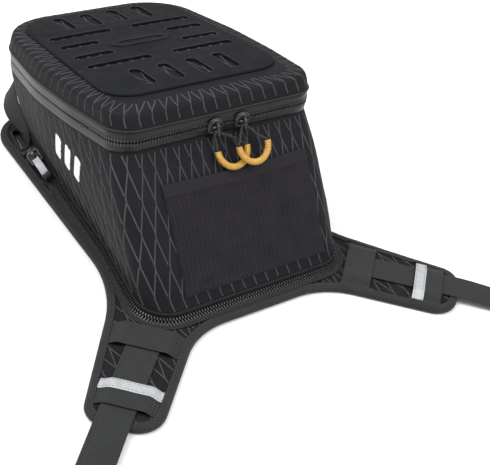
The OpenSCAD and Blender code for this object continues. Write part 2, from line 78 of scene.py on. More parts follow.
def pad_outline():
    """The pad's left half from front to rear: corners with their radii."""
    tip_outer = on_arm(ARM_LEN, ARM_OUTER_TIP)
    tip_inner = on_arm(ARM_LEN, -ARM_INNER)
    along_outer = tip_outer - on_arm(ARM_TAPER_START, ARM_OUTER_ROOT)
    flare_y = tip_outer[1] + along_outer[1] * (-PAD_HALF - tip_outer[0]) / along_outer[0]
    crotch_x = tip_inner[0] + ARM_DIR[0] * (PAD_REAR - tip_inner[1]) / ARM_DIR[1]
    return [[-PAD_HALF, PAD_FRONT, PAD_CORNER_R], [-PAD_HALF, flare_y, FLARE_R],
            [*tip_outer, TIP_OUTER_R], [*tip_inner, TIP_INNER_R], [crotch_x, PAD_REAR, CROTCH_R]]


# Outlines of the left half from front to rear, as corners: x, y and radius
PAD_PLAN = pad_outline()
BASE_PLAN = [[-68, 197, 36], [-76.5, 95, 250], [-81, -5, 150], [-93, BASE_REAR, 24]]
RIM_PLAN = [[-82.5, 203, 47], [-95, 100, 250], [-93.5, 45, 250], [-86.5, RIM_REAR, 20]]
LID_PLAN = [[-80, 205, 46], [-90, 100, 250], [-90, 45, 250], [-86, -21, 22]]
PANEL_PLAN = [[-73, 193, 27], [-78, 3, 25]]


# ---------------------------------------------------------------- outlines and rings
def unit(v):
    v = np.asarray(v, float)
    return v / np.maximum(np.linalg.norm(v, axis=-1, keepdims=True), 1e-12)


def smooth(x):
    x = np.clip(x, 0, 1)
    return x * x * (3 - 2 * x)


def closed_loop(path):
    return np.vstack([path, path[:1]])


def run_of(path):
    """The distance along a path at each of its points."""
    return np.concatenate([[0], np.cumsum(np.linalg.norm(np.diff(path, axis=0), axis=1))])


def points_at(path, run, at):
    """A path's points, or the normals at them, at some distances along it."""
    return np.column_stack([np.interp(at, run, path[:, k]) for k in range(path.shape[1])])


def at_height(xy, z):
    """Flat points lifted to one height, or to one height each."""
    return np.column_stack([xy, np.broadcast_to(z, len(xy))])


def tiled(vector, count):
    return np.tile(np.array(vector, float), (count, 1))


def turn_of(before, after):
    return np.sign(before[:, 0] * after[:, 1] - before[:, 1] * after[:, 0])


def both_sides(half):
    return np.array([list(c) for c in half] + [[-x, y, r] for x, y, r in reversed(list(half))], float)


def blend_plans(a, b, f):
    return [[p * (1 - f) + q * f for p, q in zip(u, v)] for u, v in zip(a, b)]


def inset(corners, d):
    """The outline moved inwards by d."""
    xy = corners[:, :2]
    before, after = xy - np.roll(xy, 1, 0), np.roll(xy, -1, 0) - xy
    u, v = unit(before) @ [[0, 1], [-1, 0]], unit(after) @ [[0, 1], [-1, 0]]
    moved = xy + d * (u + v) / (1 + (u * v).sum(1))[:, None]
    radius = np.maximum(1, corners[:, 2] - d * turn_of(before, after))
    return np.column_stack([moved, radius])


ARC_STEPS = 24


def corner_arcs(corners):
    """The arc that rounds each corner, as (corner, step, 2)."""
    xy, r = corners[:, :2], corners[:, 2]
    before, after = xy - np.roll(xy, 1, 0), np.roll(xy, -1, 0) - xy
    back, ahead = -unit(before), unit(after)
    half = np.arccos(np.clip((back * ahead).sum(1), -1, 1)) / 2
    centre = xy + unit(back + ahead) * (r / np.sin(half))[:, None]
    start = xy + back * (r / np.tan(half))[:, None] - centre
    angle = ((PI - 2 * half) * turn_of(before, after))[:, None] * np.linspace(0, 1, ARC_STEPS + 1)
    x = start[:, :1] * np.cos(angle) - start[:, 1:] * np.sin(angle)
    y = start[:, :1] * np.sin(angle) + start[:, 1:] * np.cos(angle)
    return centre[:, None] + np.stack([x, y], -1)


def resample(path, count, keep_end=False):
    """count points at even distances along a path."""
    run = run_of(path)
    at = np.linspace(0, run[-1], count if keep_end else count + 1)
    return points_at(path, run, at if keep_end else at[:-1])


def sections(corners):
    arcs, mid = corner_arcs(corners), ARC_STEPS // 2
    return [np.vstack([arcs[i, mid:], arcs[(i + 1) % len(arcs), :mid + 1]]) for i in range(len(arcs))]


def path_length(path):
    return np.linalg.norm(np.diff(path, axis=0), axis=1).sum()


def counts_for(half, pitch):
    return [max(4, round(path_length(s) / pitch)) for s in sections(both_sides(half))]


def ring_xy(half, d, counts):
    """An outline moved inwards by d, with a fixed number of points for each stretch between corners."""
    return np.vstack([resample(s, n) for s, n in zip(sections(inset(both_sides(half), d)), counts)])


def ring(half, d, z, counts, fall=0.0):
    """The same ring at height z, falling forwards from the rim's rear edge."""
    xy = ring_xy(half, d, counts)
    return at_height(xy, z - fall * (xy[:, 1] - RIM_REAR))


def wall_ring(f, d, counts):
    """A ring of the bag's wall at the share f of its height, d inwards of its outer face."""
    return ring(blend_plans(BASE_PLAN, RIM_PLAN, f), d - WALL_BULGE * 4 * f * (1 - f),
                BASE_Z * (1 - f) + RIM_Z * f, counts, RIM_FALL * f)


def lid_ring(h, d, counts):
    """A ring of the lid's side or of its zip, h over the rim and d inwards."""
    f = max(0.0, h - BAND_H) / (LID_H - BAND_H)
    return ring(blend_plans(RIM_PLAN, LID_PLAN, f), d, RIM_Z + h, counts, RIM_FALL)


def lid_z(y, h):
    return RIM_Z + h - RIM_FALL * (y - RIM_REAR)


def spline(points, n):
    """Smooth curve through points, n steps for each stretch."""
    p = np.asarray(points, float)
    p = np.vstack([p[:1], p, p[-1:]])
    out = []
    for i in range(1, len(p) - 2):
        a, b, c, d = p[i - 1:i + 3]
        for t in np.arange(n) / n:
            out.append(0.5 * (2 * b + t * (c - a) + t * t * (2 * a - 5 * b + 4 * c - d)
                              + t ** 3 * (3 * b - a - 3 * c + d)))
    return np.array(out + [p[-1]])


def tangents(path):
    return unit(np.gradient(path, axis=0))


# ---------------------------------------------------------------- mesh making
class Build:
    """Gathers the vertices, faces, cloth coordinates and material numbers of one piece."""

    def __init__(self):
        self.verts, self.faces, self.uvs, self.mats, self.count = [], [], [], [], 0

    def add(self, verts, faces, uvs=None, mat=0):
        """verts (n, 3); faces lists of vertex numbers; uvs one pair for each vertex or face corner."""
        self.verts.append(np.asarray(verts, float))
        corners = sum(len(f) for f in faces)
        flat = [i for f in faces for i in f]
        if uvs is None:
            uvs = np.asarray(verts, float)[:, :2]
        uvs = np.asarray(uvs, float)
        self.uvs.append(uvs if len(uvs) == corners and len(uvs) != len(verts) else uvs[flat])
        self.faces += [[i + self.count for i in f] for f in faces]
        self.mats += [mat] * len(faces)
        self.count += len(verts)

    def grid(self, pts, across=False, around=False, mat=0, uv=None, flip=False):
        """A grid (rows, columns, 3). across joins its last column to its first, around its last row."""
        pts = np.asarray(pts, float)
        rows, cols = pts.shape[:2]
        if uv is None:
            uv = run_of(closed_loop(pts[rows // 2])), run_of(closed_loop(pts[:, cols // 2]))
        u, v = uv
        i, j = np.meshgrid(np.arange(rows if around else rows - 1),
                           np.arange(cols if across else cols - 1), indexing="ij")
        i, j = i.ravel(), j.ravel()
        i2, j2 = (i + 1) % rows, (j + 1) % cols
        quads = np.column_stack([i * cols + j, i * cols + j2, i2 * cols + j2, i2 * cols + j])
        corner_u = np.column_stack([u[j], u[j + 1], u[j + 1], u[j]])
        corner_v = np.column_stack([v[i], v[i], v[i + 1], v[i + 1]])
        if flip:
            quads, corner_u, corner_v = quads[:, ::-1], corner_u[:, ::-1], corner_v[:, ::-1]
        uvs = np.stack([corner_u, corner_v], -1).reshape(-1, 2)
        self.verts.append(pts.reshape(-1, 3))
        self.uvs.append(uvs)
        self.faces += (quads + self.count).tolist()
        self.mats += [mat] * len(quads)
        self.count += rows * cols

    def cap(self, pts, mat=0, flip=False):
        face = list(range(len(pts)))
        self.add(pts, [face[::-1] if flip else face], mat=mat)

    def copies(self, verts, faces, places, mat=0):
        """One copy of a small shape for each place: (origins, x axes, y axes, z axes)."""
        origin, ax, ay, az = places
        verts = np.asarray(verts, float)
        all_verts = (origin[:, None] + verts[None, :, :1] * ax[:, None] + verts[None, :, 1:2] * ay[:, None]
                     + verts[None, :, 2:] * az[:, None])
        n, m = len(origin), len(verts)
        faces_all = [[i + k * m for i in f] for k in range(n) for f in faces]
        self.add(all_verts.reshape(-1, 3), faces_all, mat=mat)

    def piece(self, name, materials, body, slot, replaces=(), sharp=40):
        """The piece as an object that rides on body; body is None where it's blended across a joint."""
        mesh = bpy.data.meshes.new(name)
        mesh.from_pydata((np.vstack(self.verts) * MM).tolist(), [], self.faces)
        layer = mesh.uv_layers.new(name="cloth")
        layer.data.foreach_set("uv", (np.vstack(self.uvs) * MM).astype(np.float32).ravel())
        for m in materials:
            mesh.materials.append(m)
        mesh.polygons.foreach_set("material_index", np.array(self.mats, np.int32))
        mesh.polygons.foreach_set("use_smooth", np.ones(len(self.faces), bool))
        mesh.set_sharp_from_angle(angle=math.radians(sharp))
        mesh.update()
        obj = bpy.data.objects.new(name, mesh)
        bpy.context.scene.collection.objects.link(obj)
        if body:
            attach(obj, body)
        if replaces:
            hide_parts(*replaces)
        return obj


def bead(sides=6, rings=5):
    """A closed rounded bead of half size 1 each way, long along x."""
    lat = np.linspace(-PI / 2, PI / 2, rings + 2)[1:-1]
    ang = np.arange(sides) * 2 * PI / sides
    body = [[math.sin(a), math.cos(a) ** 0.6 * math.cos(b), math.cos(a) ** 0.6 * math.sin(b)]
            for a in lat for b in ang]
    verts = [[-1, 0, 0]] + body + [[1, 0, 0]]
    faces = [[0, 1 + (k + 1) % sides, 1 + k] for k in range(sides)]
    for i in range(rings - 1):
        a, b = 1 + i * sides, 1 + (i + 1) * sides
        faces += [[a + k, a + (k + 1) % sides, b + (k + 1) % sides, b + k] for k in range(sides)]
    last = len(verts) - 1
    top = 1 + (rings - 1) * sides
    faces += [[last, top + k, top + (k + 1) % sides] for k in range(sides)]
    return np.array(verts), faces


BEAD = bead()
SMALL_BEAD = bead(4, 3)


# Each seam's stitches: their pitch, length and radius
STITCHES = {"binding": (3.2, 2.3, 0.3), "slot": (2.8, 1.9, 0.28), "web": (2.4, 1.9, 0.3),
            "strip": (2.6, 1.8, 0.24), "strap": (2.5, 2.0, 0.26), "tape": (2.6, 1.9, 0.25),
            "zip_lower": (2.6, 1.9, 0.26), "patch": (2.2, 1.6, 0.25), "loop": (1.7, 1.3, 0.25),
            "rim": (3.2, 2.3, 0.28), "pocket": (3.0, 2.1, 0.26), "handle": (3.0, 2.2, 0.27)}
STITCH_RISE = 0.35      # how far a stitch's middle stands off its cloth, as a share of its radius
STITCH_FLAT = 0.9


def stitch_row(build, path, normals, seam, mat=1, closed=False):
    """One seam's stitches, lying end to end along a path on a surface."""
    pitch, length, radius = STITCHES[seam]
    path = np.asarray(path, float)
    if closed:
        path, normals = closed_loop(path), closed_loop(normals)
    run = run_of(path)
    count = max(1, int(run[-1] / pitch))
    at = (np.arange(count) + 0.5) * run[-1] / count
    out = unit(points_at(normals, run, at))
    ahead = unit(points_at(path, run, at + 0.4) - points_at(path, run, at - 0.4))
    verts, faces = SMALL_BEAD
    build.copies(verts * [length / 2, radius, radius * STITCH_FLAT], faces,
                 (points_at(path, run, at) + out * radius * STITCH_RISE, ahead,
                  unit(np.cross(out, ahead)), out), mat)


def ridge(build, path, normals, half_w, height, mat=0):
    """A yarn lying on a surface: a flat four-sided strand along a path."""
    if len(path) < 3:
        return
    side = unit(np.cross(normals, tangents(path)))
    rows = [path + side * half_w, path + normals * height, path - side * half_w, path - normals * height]
    build.grid(np.array(rows).transpose(1, 0, 2), across=True, mat=mat)


def tube(build, path, radius, sides=10, closed=False, mat=0):
    """A round cord or bead along a path; radius may vary along it."""
    path = np.asarray(path, float)
    ahead = unit(np.roll(path, -1, 0) - np.roll(path, 1, 0)) if closed else tangents(path)
    out = unit(np.cross(ahead[0], [0.31, 0.82, -0.48]))     # any direction that no path here starts in
    outs = []
    for t in ahead:
        out = unit(out - t * (out @ t))
        outs.append(out)
    outs = np.array(outs)
    across = np.cross(ahead, outs)
    angle = (np.arange(sides) * 2 * PI / sides)[None, :, None]
    r = np.broadcast_to(np.asarray(radius, float), (len(path),))[:, None, None]
    pts = path[:, None] + r * (np.cos(angle) * outs[:, None] + np.sin(angle) * across[:, None])
    build.grid(pts, across=True, around=closed, mat=mat, flip=True)
    if not closed:
        build.cap(pts[0], mat)
        build.cap(pts[-1], mat, flip=True)


def ribbon(build, path, side, normal, half_w, thick, ribs=0, rib=0.12, cup=0.0, steps=24):
    """Flat webbing along a path, with lengthwise ribs and rounded edges."""
    across = np.linspace(-1, 1, steps + 1)
    edge = np.clip((1 - np.abs(across)) * half_w / (thick * 0.5), 0, 1)
    swell = np.sqrt(1 - (1 - edge) ** 2)
    wave = rib * np.cos(across * PI * ribs) if ribs else 0 * across
    rise = thick / 2 * (0.25 + 0.75 * swell) + wave * swell
    x = np.concatenate([across, across[::-1]]) * half_w
    z = np.concatenate([rise - cup * across ** 2, (-rise - cup * across ** 2)[::-1]])
    pts = path[:, None] + side[:, None] * x[None, :, None] + normal[:, None] * z[None, :, None]
    build.grid(pts, across=True, uv=(np.concatenate([x, x[:1]]), run_of(path)))
    build.cap(pts[0], flip=True)
    build.cap(pts[-1])


def rounded_box(build, size, bevel, middle):
    """A box with rounded edges."""
    bm = bmesh.new()
    bmesh.ops.create_cube(bm, size=1)
    for v in bm.verts:
        v.co = Vector([c * s for c, s in zip(v.co, size)])
    bmesh.ops.bevel(bm, geom=bm.edges[:], offset=bevel, segments=3, profile=0.5, affect="EDGES")
    verts = np.array([v.co for v in bm.verts])
    faces = [[v.index for v in f.verts] for f in bm.faces]
    bm.free()
    build.add(verts + np.array(middle, float), faces)


# ---------------------------------------------------------------- cloth surfaces
class Surface:
    """A closed cloth surface sampled on a grid: rows go up, columns go round. s is the distance round the
    middle row, t the distance up from the bottom row."""

    STEP = 1.5

    def __init__(self, rows):
        self.rows = rows
        across = np.roll(rows, -1, 1) - np.roll(rows, 1, 1)
        self.normals = unit(np.cross(across, np.gradient(rows, axis=0)))
        self.s = run_of(closed_loop(rows[len(rows) // 2]))
        self.length = self.s[-1]
        climb = np.linalg.norm(np.diff(rows, axis=0), axis=2)
        t = np.vstack([np.zeros(rows.shape[1]), np.cumsum(climb, axis=0)])
        self.top = t[-1]
        levels = np.arange(int(self.top.max() / self.STEP) + 2) * self.STEP
        self.p = np.empty((len(levels), rows.shape[1], 3))
        self.n = np.empty_like(self.p)
        for c in range(rows.shape[1]):
            self.p[:, c] = points_at(rows[:, c], t[:, c], levels)
            self.n[:, c] = points_at(self.normals[:, c], t[:, c], levels)

    def column(self, s):
        return np.interp(np.mod(s, self.length), self.s, np.arange(len(self.s)))

    def top_at(self, s):
        u = self.column(s)
        a = np.floor(u).astype(int) % len(self.top)
        f = u - np.floor(u)
        return self.top[a] * (1 - f) + self.top[(a + 1) % len(self.top)] * f

    def place(self, s, t, out=0.0):
        """Points and normals at (s, t), lifted outwards."""
        u = self.column(s)
        a = np.floor(u).astype(int) % self.p.shape[1]
        b, f = (a + 1) % self.p.shape[1], (u - np.floor(u))[..., None]
        k = np.clip(np.asarray(t, float) / self.STEP, 0, len(self.p) - 1.001)
        i, g = np.floor(k).astype(int), (k - np.floor(k))[..., None]

        def pick(grid):
            low = grid[i, a] * (1 - f) + grid[i, b] * f
            high = grid[i + 1, a] * (1 - f) + grid[i + 1, b] * f
            return low * (1 - g) + high * g
        n = unit(pick(self.n))
        return pick(self.p) + n * np.asarray(out)[..., None], n

    def project(self, axis, a, z, columns, out):
        """Points of the surface whose coordinate axis is a and whose height is z, among some columns."""
        rows, normals = self.rows[:, columns], self.normals[:, columns]
        order = np.argsort(rows[0, :, axis])
        rows, normals = rows[:, order], normals[:, order]
        flat_a, flat_z = a.ravel(), z.ravel()
        at_rows = np.array([points_at(r, r[:, axis], flat_a) for r in rows])
        n_rows = np.array([points_at(n, r[:, axis], flat_a) for r, n in zip(rows, normals)])
        points, outwards = np.empty((len(flat_a), 3)), np.empty((len(flat_a), 3))
        for m, height in enumerate(flat_z):
            level = np.interp(height, at_rows[:, m, 2], np.arange(len(rows)))
            i = min(int(level), len(rows) - 2)
            g = level - i
            points[m] = at_rows[i, m] * (1 - g) + at_rows[i + 1, m] * g
            outwards[m] = n_rows[i, m] * (1 - g) + n_rows[i + 1, m] * g
        outwards = unit(outwards)
        points = points + outwards * np.broadcast_to(out, a.shape).ravel()[:, None]
        return points.reshape(a.shape + (3,)), outwards.reshape(a.shape + (3,))


CLOTH = {"quality": 6, "mass": 0.15, "tension_stiffness": 40, "compression_stiffness": 40,
         "shear_stiffness": 20, "bending_stiffness": 4, "use_pressure": True, "vertex_group_mass": "sewn"}
SETTLING_FRAMES = 20


def settle(rows, pressure, pinned, cap, closed=True):
    """Blender's cloth blown up slightly between its sewn edges; returns the same grid after it has
    settled, no point moved more than cap. pinned is one weight for each point."""
    build = Build()
    build.grid(rows, across=closed)
    mesh = bpy.data.meshes.new("settling")
    mesh.from_pydata((np.vstack(build.verts) * MM).tolist(), [], build.faces)
    obj = bpy.data.objects.new("settling", mesh)
    scene = bpy.context.scene
    scene.collection.objects.link(obj)
    group = obj.vertex_groups.new(name="sewn")
    for k, w in enumerate(pinned.ravel()):
        group.add([k], float(w), "REPLACE")
    cloth = obj.modifiers.new("Cloth", "CLOTH")
    for key, value in CLOTH.items():
        setattr(cloth.settings, key, value)
    cloth.settings.uniform_pressure_force = pressure
    cloth.settings.effector_weights.gravity = 0
    cloth.point_cache.frame_end = SETTLING_FRAMES
    for k in range(1, SETTLING_FRAMES + 1):
        scene.frame_set(k)
    evaluated = obj.evaluated_get(bpy.context.evaluated_depsgraph_get())
    moved = np.array([v.co for v in evaluated.data.vertices], float) / MM
    scene.frame_set(1)
    bpy.data.objects.remove(obj)
    step = moved.reshape(rows.shape) - rows
    far = np.linalg.norm(step, axis=-1, keepdims=True)
    return rows + step * np.minimum(1, cap / np.maximum(far, 1e-9))


# ---------------------------------------------------------------- materials
class Shade:
    """A Principled material with helpers for its procedural nodes."""

    def __init__(self, name, rough, metal=0.0, specular=0.5, sheen=0.0, coat=0.0, coat_rough=0.1):
        self.mat = bpy.data.materials.new(name)
        self.mat.use_nodes = True
        self.tree = self.mat.node_tree
        self.shader = next(n for n in self.tree.nodes if n.type == "BSDF_PRINCIPLED")
        self.set(self.shader, {"Roughness": rough, "Metallic": metal, "Specular IOR Level": specular,
                               "Sheen Weight": sheen, "Coat Weight": coat, "Coat Roughness": coat_rough})

    def set(self, node, values):
        for key, value in values.items():
            node.inputs[key].default_value = value

    def node(self, kind, values=None, links=None, **props):
        n = self.tree.nodes.new("ShaderNode" + kind)
        for key, value in props.items():
            setattr(n, key, value)
        self.set(n, values or {})
        for key, source in (links or {}).items():
            self.tree.links.new(source, n.inputs[key])
        return n

    def coords(self, cloth=True):
        return self.node("TexCoord").outputs["UV" if cloth else "Object"]

    def turned(self, vector, angle):
        return self.node("Mapping", {"Rotation": (0, 0, math.radians(angle))}, {"Vector": vector}).outputs[0]

    def noise(self, vector, size_mm, detail=3.0, rough=0.5):
        return self.node("TexNoise", {"Scale": 1 / (size_mm * MM), "Detail": detail, "Roughness": rough},
                         {"Vector": vector}).outputs["Fac"]

    def bands(self, vector, pitch_mm, direction="X"):
        """Smooth stripes, one each pitch."""
        return self.node("TexWave", {"Scale": 2 * PI / 20 / (pitch_mm * MM)}, {"Vector": vector},
                         wave_type="BANDS", bands_direction=direction).outputs["Fac"]

    def cells(self, vector, size_mm):
        return self.node("TexVoronoi", {"Scale": 1 / (size_mm * MM)}, {"Vector": vector}).outputs["Distance"]

    def calc(self, op, a, b):
        n = self.node("Math", operation=op)
        for k, value in enumerate((a, b)):
            if isinstance(value, (int, float)):
                n.inputs[k].default_value = value
            else:
                self.tree.links.new(value, n.inputs[k])
        return n.outputs[0]

    def mix(self, *pairs):
        """The sum of some values, each given with its weight."""
        total = None
        for value, weight in reversed(pairs):
            part = value if weight == 1 else self.calc("MULTIPLY", value, weight)
            total = part if total is None else self.calc("ADD", part, total)
        return total

    def ramp(self, fac, low, high, a=0.0, b=1.0):
        """A value brought to low where it is a and to high where it is b."""
        n = self.node("MapRange", {"From Min": a, "From Max": b, "To Min": low, "To Max": high},
                      {"Value": fac})
        return n.outputs["Result"]

    def colours(self, fac, stops):
        n = self.node("ValToRGB", links={"Fac": fac})
        ramp = n.color_ramp
        while len(ramp.elements) < len(stops):
            ramp.elements.new(0.5)
        for element, (position, colour) in zip(ramp.elements, stops):
            element.position = position
            element.color = (*colour, 1)
        return n.outputs["Color"]

    def finish(self, colour, height=None, depth_mm=0.1, strength=1.0, rough=None):
        self.tree.links.new(colour, self.shader.inputs["Base Color"])
        if rough is not None:
            self.tree.links.new(rough, self.shader.inputs["Roughness"])
        if height is not None:
            bump = self.node("Bump", {"Strength": strength, "Distance": depth_mm * MM}, {"Height": height})
            self.tree.links.new(bump.outputs[0], self.shader.inputs["Normal"])
        return self.mat


def scaled(colour, f):
    return tuple(c * f for c in colour)


def woven(name, colour, pitch, rough, depth=0.12, sheen=0.0, twill=False, worn=0.25, cloth=True,
          specular=0.4):
    """Cloth with a plain or twill weave, uneven dye and slightly worn high yarns."""
    m = Shade(name, rough, sheen=sheen, specular=specular)
    uv = m.coords(cloth)
    if twill:
        over = m.bands(m.turned(uv, 52), pitch)
        weave = m.calc("MULTIPLY", over, m.ramp(m.bands(uv, pitch * 0.5, "Y"), 0.55, 1))
    else:
        weave = m.calc("MULTIPLY", m.bands(uv, pitch), m.bands(uv, pitch, "Y"))
    dye, fine = m.noise(uv, 14, 4), m.noise(uv, 1.1, 2)
    colours = m.colours(m.mix((weave, 0.45), (dye, 0.35), (fine, 0.2)),
                        [(0.15, scaled(colour, 1 - worn * 1.4)), (0.5, colour),
                         (0.85, scaled(colour, 1 + worn * 1.6))])
    roughness = m.ramp(dye, rough - 0.08, rough + 0.08)
    return m.finish(colours, m.mix((weave, 1), (fine, 0.35)), depth, 0.9, roughness)


def laminate_material():
    """Pack cloth under a thin satin film: very fine weave, faint creases and scuffs."""
    m = Shade("laminate", 0.62, specular=0.09)
    uv = m.coords()
    weave = m.calc("MULTIPLY", m.bands(m.turned(uv, 45), 0.8), m.bands(m.turned(uv, -45), 0.8))
    creases, scuffs = m.noise(uv, 26, 5, 0.62), m.noise(uv, 3.2, 4, 0.7)
    colours = m.colours(m.mix((weave, 0.25), (creases, 0.5), (scuffs, 0.25)),
                        [(0.25, (0.0080, 0.0075, 0.0092)), (0.5, (0.0112, 0.0106, 0.0128)),
                         (0.8, (0.0158, 0.0152, 0.0178))])
    height = m.mix((weave, 0.12), (creases, 1))
    return m.finish(colours, height, 0.5, 0.55, m.ramp(scuffs, 0.52, 0.7, 0.3, 0.7))


def grained(name, rough, fine, cloudy, stops, depth, strength, worn=None, cells=False, cloth=False, **look):
    """A material coloured by a fine pattern and a cloudy one, each given as its size, detail and weight.
    The fine one makes the bump. worn is the roughness where the last of them is low and where it is high."""
    m = Shade(name, rough, **look)
    place = m.coords(cloth)
    grain = cloud = m.cells(place, fine[0]) if cells else m.noise(place, *fine[:2])
    tone = grain
    if cloudy:
        cloud = m.noise(place, *cloudy[:2])
        tone = m.mix((grain, fine[2]), (cloud, cloudy[2]))
    return m.finish(m.colours(tone, stops), grain, depth, strength,
                    m.ramp(cloud, *worn, 0.3, 0.7) if worn else None)


def pocket_material():
    """Ribbed stretch cloth: columns of small dark holes between smooth ribs."""
    m = Shade("pocket_mesh", 0.84, specular=0.12, sheen=0.04)
    uv = m.coords()
    holes = m.calc("MULTIPLY", m.ramp(m.bands(uv, 3.8), 0, 1, 0.72, 0.98),
                   m.ramp(m.bands(uv, 1.7, "Y"), 0, 1, 0.45, 0.9))
    ribs = m.bands(uv, 1.27)
    dye = m.noise(uv, 16, 4)
    colours = m.colours(m.mix((dye, 0.55), (ribs, 0.3), (holes, -0.5)),
                        [(0.0, (0.0035, 0.0032, 0.0040)), (0.3, (0.0125, 0.0112, 0.0140)),
                         (0.6, (0.0205, 0.0185, 0.0228))])
    return m.finish(colours, m.calc("SUBTRACT", ribs, holes), 0.2, 0.8)


def coated_material():
    """Rubbery satin film over zip tape."""
    m = Shade("coated_zip", 0.4, specular=0.24, coat=0.03, coat_rough=0.35)
    uv = m.coords()
    cloudy, fine = m.noise(uv, 18, 4), m.noise(uv, 1.0, 3)
    colours = m.colours(cloudy, [(0.3, (0.0062, 0.0076, 0.0076)), (0.7, (0.0104, 0.0126, 0.0124))])
    return m.finish(colours, m.mix((fine, 1), (cloudy, 1.5)), 0.12, 0.5, m.ramp(fine, 0.26, 0.42, 0.3, 0.7))


def rubber_material(name, low, high):
    """Satin moulded rubber with a fine grain."""
    m = Shade(name, 0.66, specular=0.1)
    xyz = m.coords(False)
    grain = m.cells(xyz, 0.9)
    cloudy = m.noise(xyz, 35, 4)
    colours = m.colours(cloudy, [(0.3, low), (0.7, high)])
    return m.finish(colours, m.calc("ADD", grain, m.noise(xyz, 2.5, 3)), 0.07, 0.5,
                    m.ramp(m.noise(xyz, 9, 4), 0.56, 0.72, 0.3, 0.7))


def cord_material():
    """Black braid with a few pale green flecks."""
    m = Shade("pull_braid", 0.7, specular=0.35, sheen=0.1)
    uv = m.coords()
    braid = m.calc("MULTIPLY", m.bands(m.turned(uv, 40), 1.1), m.bands(m.turned(uv, -40), 1.1))
    fleck = m.ramp(m.noise(uv, 1.6, 1), 0, 0.5, 0.5, 0.72)
    colours = m.colours(m.mix((braid, 0.5), (fleck, 1)),
                        [(0.1, (0.006, 0.007, 0.006)), (0.45, (0.020, 0.026, 0.022)),
                         (0.85, (0.12, 0.17, 0.13))])
    return m.finish(colours, braid, 0.25, 0.9)


def grip_material():
    """Tacky rubberised underside with a close grid of small dots."""
    m = Shade("grip_underside", 0.75, specular=0.35)
    xyz = m.coords(False)
    dots = m.calc("MULTIPLY", m.bands(xyz, 2.4), m.bands(xyz, 2.4, "Y"))
    colours = m.colours(m.mix((dots, 0.6), (m.noise(xyz, 1.5, 3), 0.4)),
                        [(0.15, (0.012, 0.012, 0.013)), (0.8, (0.042, 0.042, 0.045))])
    return m.finish(colours, dots, 0.5, 0.9)


LAMINATE = laminate_material()
YARN = grained("grid_yarn", 0.55, (1.4, 2, 0.5), (30, 2, 0.5),
               [(0.3, (0.035, 0.0348, 0.0372)), (0.7, (0.064, 0.0635, 0.0675))], 0.1, 0.5, specular=0.2)
POCKET_CLOTH = pocket_material()
TAPE = woven("zip_tape", (0.0175, 0.0152, 0.0182), 1.2, 0.8, 0.15, 0.04, specular=0.15)
WEBBING = woven("webbing", (0.0225, 0.0245, 0.0232), 1.9, 0.76, 0.35, 0.05, twill=True, worn=0.35,
                specular=0.2)
BINDING = woven("binding_tape", (0.0230, 0.0258, 0.0240), 1.5, 0.78, 0.25, 0.05, worn=0.4, specular=0.2)
LINING = woven("lining_cloth", (0.12, 0.13, 0.14), 1.2, 0.8, 0.1, 0.1)
COATED = coated_material()
COIL = grained("zip_coil", 0.34, (1.2, 2), None, [(0.3, (0.020, 0.019, 0.021)), (0.7, (0.040, 0.038, 0.042))],
               0.08, 0.4, (0.2, 0.36))
RUBBER = rubber_material("moulded_rubber", (0.0060, 0.0065, 0.0075), (0.0088, 0.0094, 0.0106))
# A lighter rubber for the lips of the slots and the lozenge: a painted highlight along the moulded edges, not
# a colour the rubber has
RUBBER_PAINTED_HIGHLIGHT = rubber_material("moulded_rubber_painted_highlight", (0.028, 0.029, 0.031), (0.050, 0.051, 0.054))
SLIDER = grained("slider_metal", 0.36, (0.7, 3, 0.4), (5, 3, 0.6),
                 [(0.3, (0.035, 0.034, 0.036)), (0.7, (0.075, 0.073, 0.076))], 0.06, 0.6, (0.28, 0.48),
                 metal=0.7, coat=0.15, coat_rough=0.2)
STEEL = grained("bright_metal", 0.4, (0.7, 3, 0.4), (5, 3, 0.6),
                [(0.3, (0.075, 0.074, 0.072)), (0.7, (0.15, 0.148, 0.144))], 0.06, 0.6, (0.32, 0.52),
                metal=0.85, coat=0.15, coat_rough=0.2)
GOLD = grained("gold_tube", 0.42, (1.1, 3, 0.5), (7, 3, 0.5),
               [(0.25, (0.34, 0.170, 0.020)), (0.5, (0.48, 0.258, 0.034)), (0.8, (0.62, 0.38, 0.085))],
               0.12, 0.6, sheen=0.1)
BRAID = cord_material()
SILVER = grained("reflective_tape", 0.42, (0.6, 0, 0.4), (6, 4, 0.6),
                 [(0.2, (0.27, 0.28, 0.295)), (0.5, (0.37, 0.38, 0.395)), (0.8, (0.46, 0.468, 0.48))],
                 0.06, 0.6, (0.34, 0.5), cells=True, cloth=True, metal=0.1)
FOAM = grained("foam", 0.9, (0.8, 0), None, [(0.1, (0.030, 0.030, 0.032)), (0.6, (0.075, 0.076, 0.080))],
               0.25, 0.8, cells=True, specular=0.25)
GRIP = grip_material()
PRINT = grained("badge_print", 0.5, (2.2, 4), None, [(0.25, (0.62, 0.62, 0.62)), (0.5, (0.84, 0.84, 0.84))],
                0.05, 0.4, specular=0.4)
THREAD = woven("dark_stitch", (0.040, 0.042, 0.041), 0.7, 0.6, 0.08, cloth=False)
BLACK_THREAD = woven("black_stitch", (0.016, 0.015, 0.017), 0.7, 0.6, 0.08, cloth=False)
PALE_THREAD = woven("grey_stitch", (0.22, 0.22, 0.23), 0.7, 0.6, 0.08, cloth=False)

# ---------------------------------------------------------------- the bag's walls
RANDOM = np.random.RandomState(7)
COUNTS = counts_for(RIM_PLAN, 3.0)
WALL_LEVELS, WALL_PRESSURE = 25, 1.2
# How far the wall is drawn in before it swells, and how far it swells without and with the simulation
SEWN_IN, QUICK_SWELL, SWELL_CAP = 1.2, 0.5, 2.4
# The raised diamonds: their width, the height of two rows, and where the first row starts
GRID_W, GRID_H, GRID_START = 10.5, 48.6, 10.8
SIDE_STRETCH = 0.45     # how much wider the diamonds are on the bag's sides than on its front and rear
YARN_DRIFT, FLAT_DRIFT = 0.45, 0.4


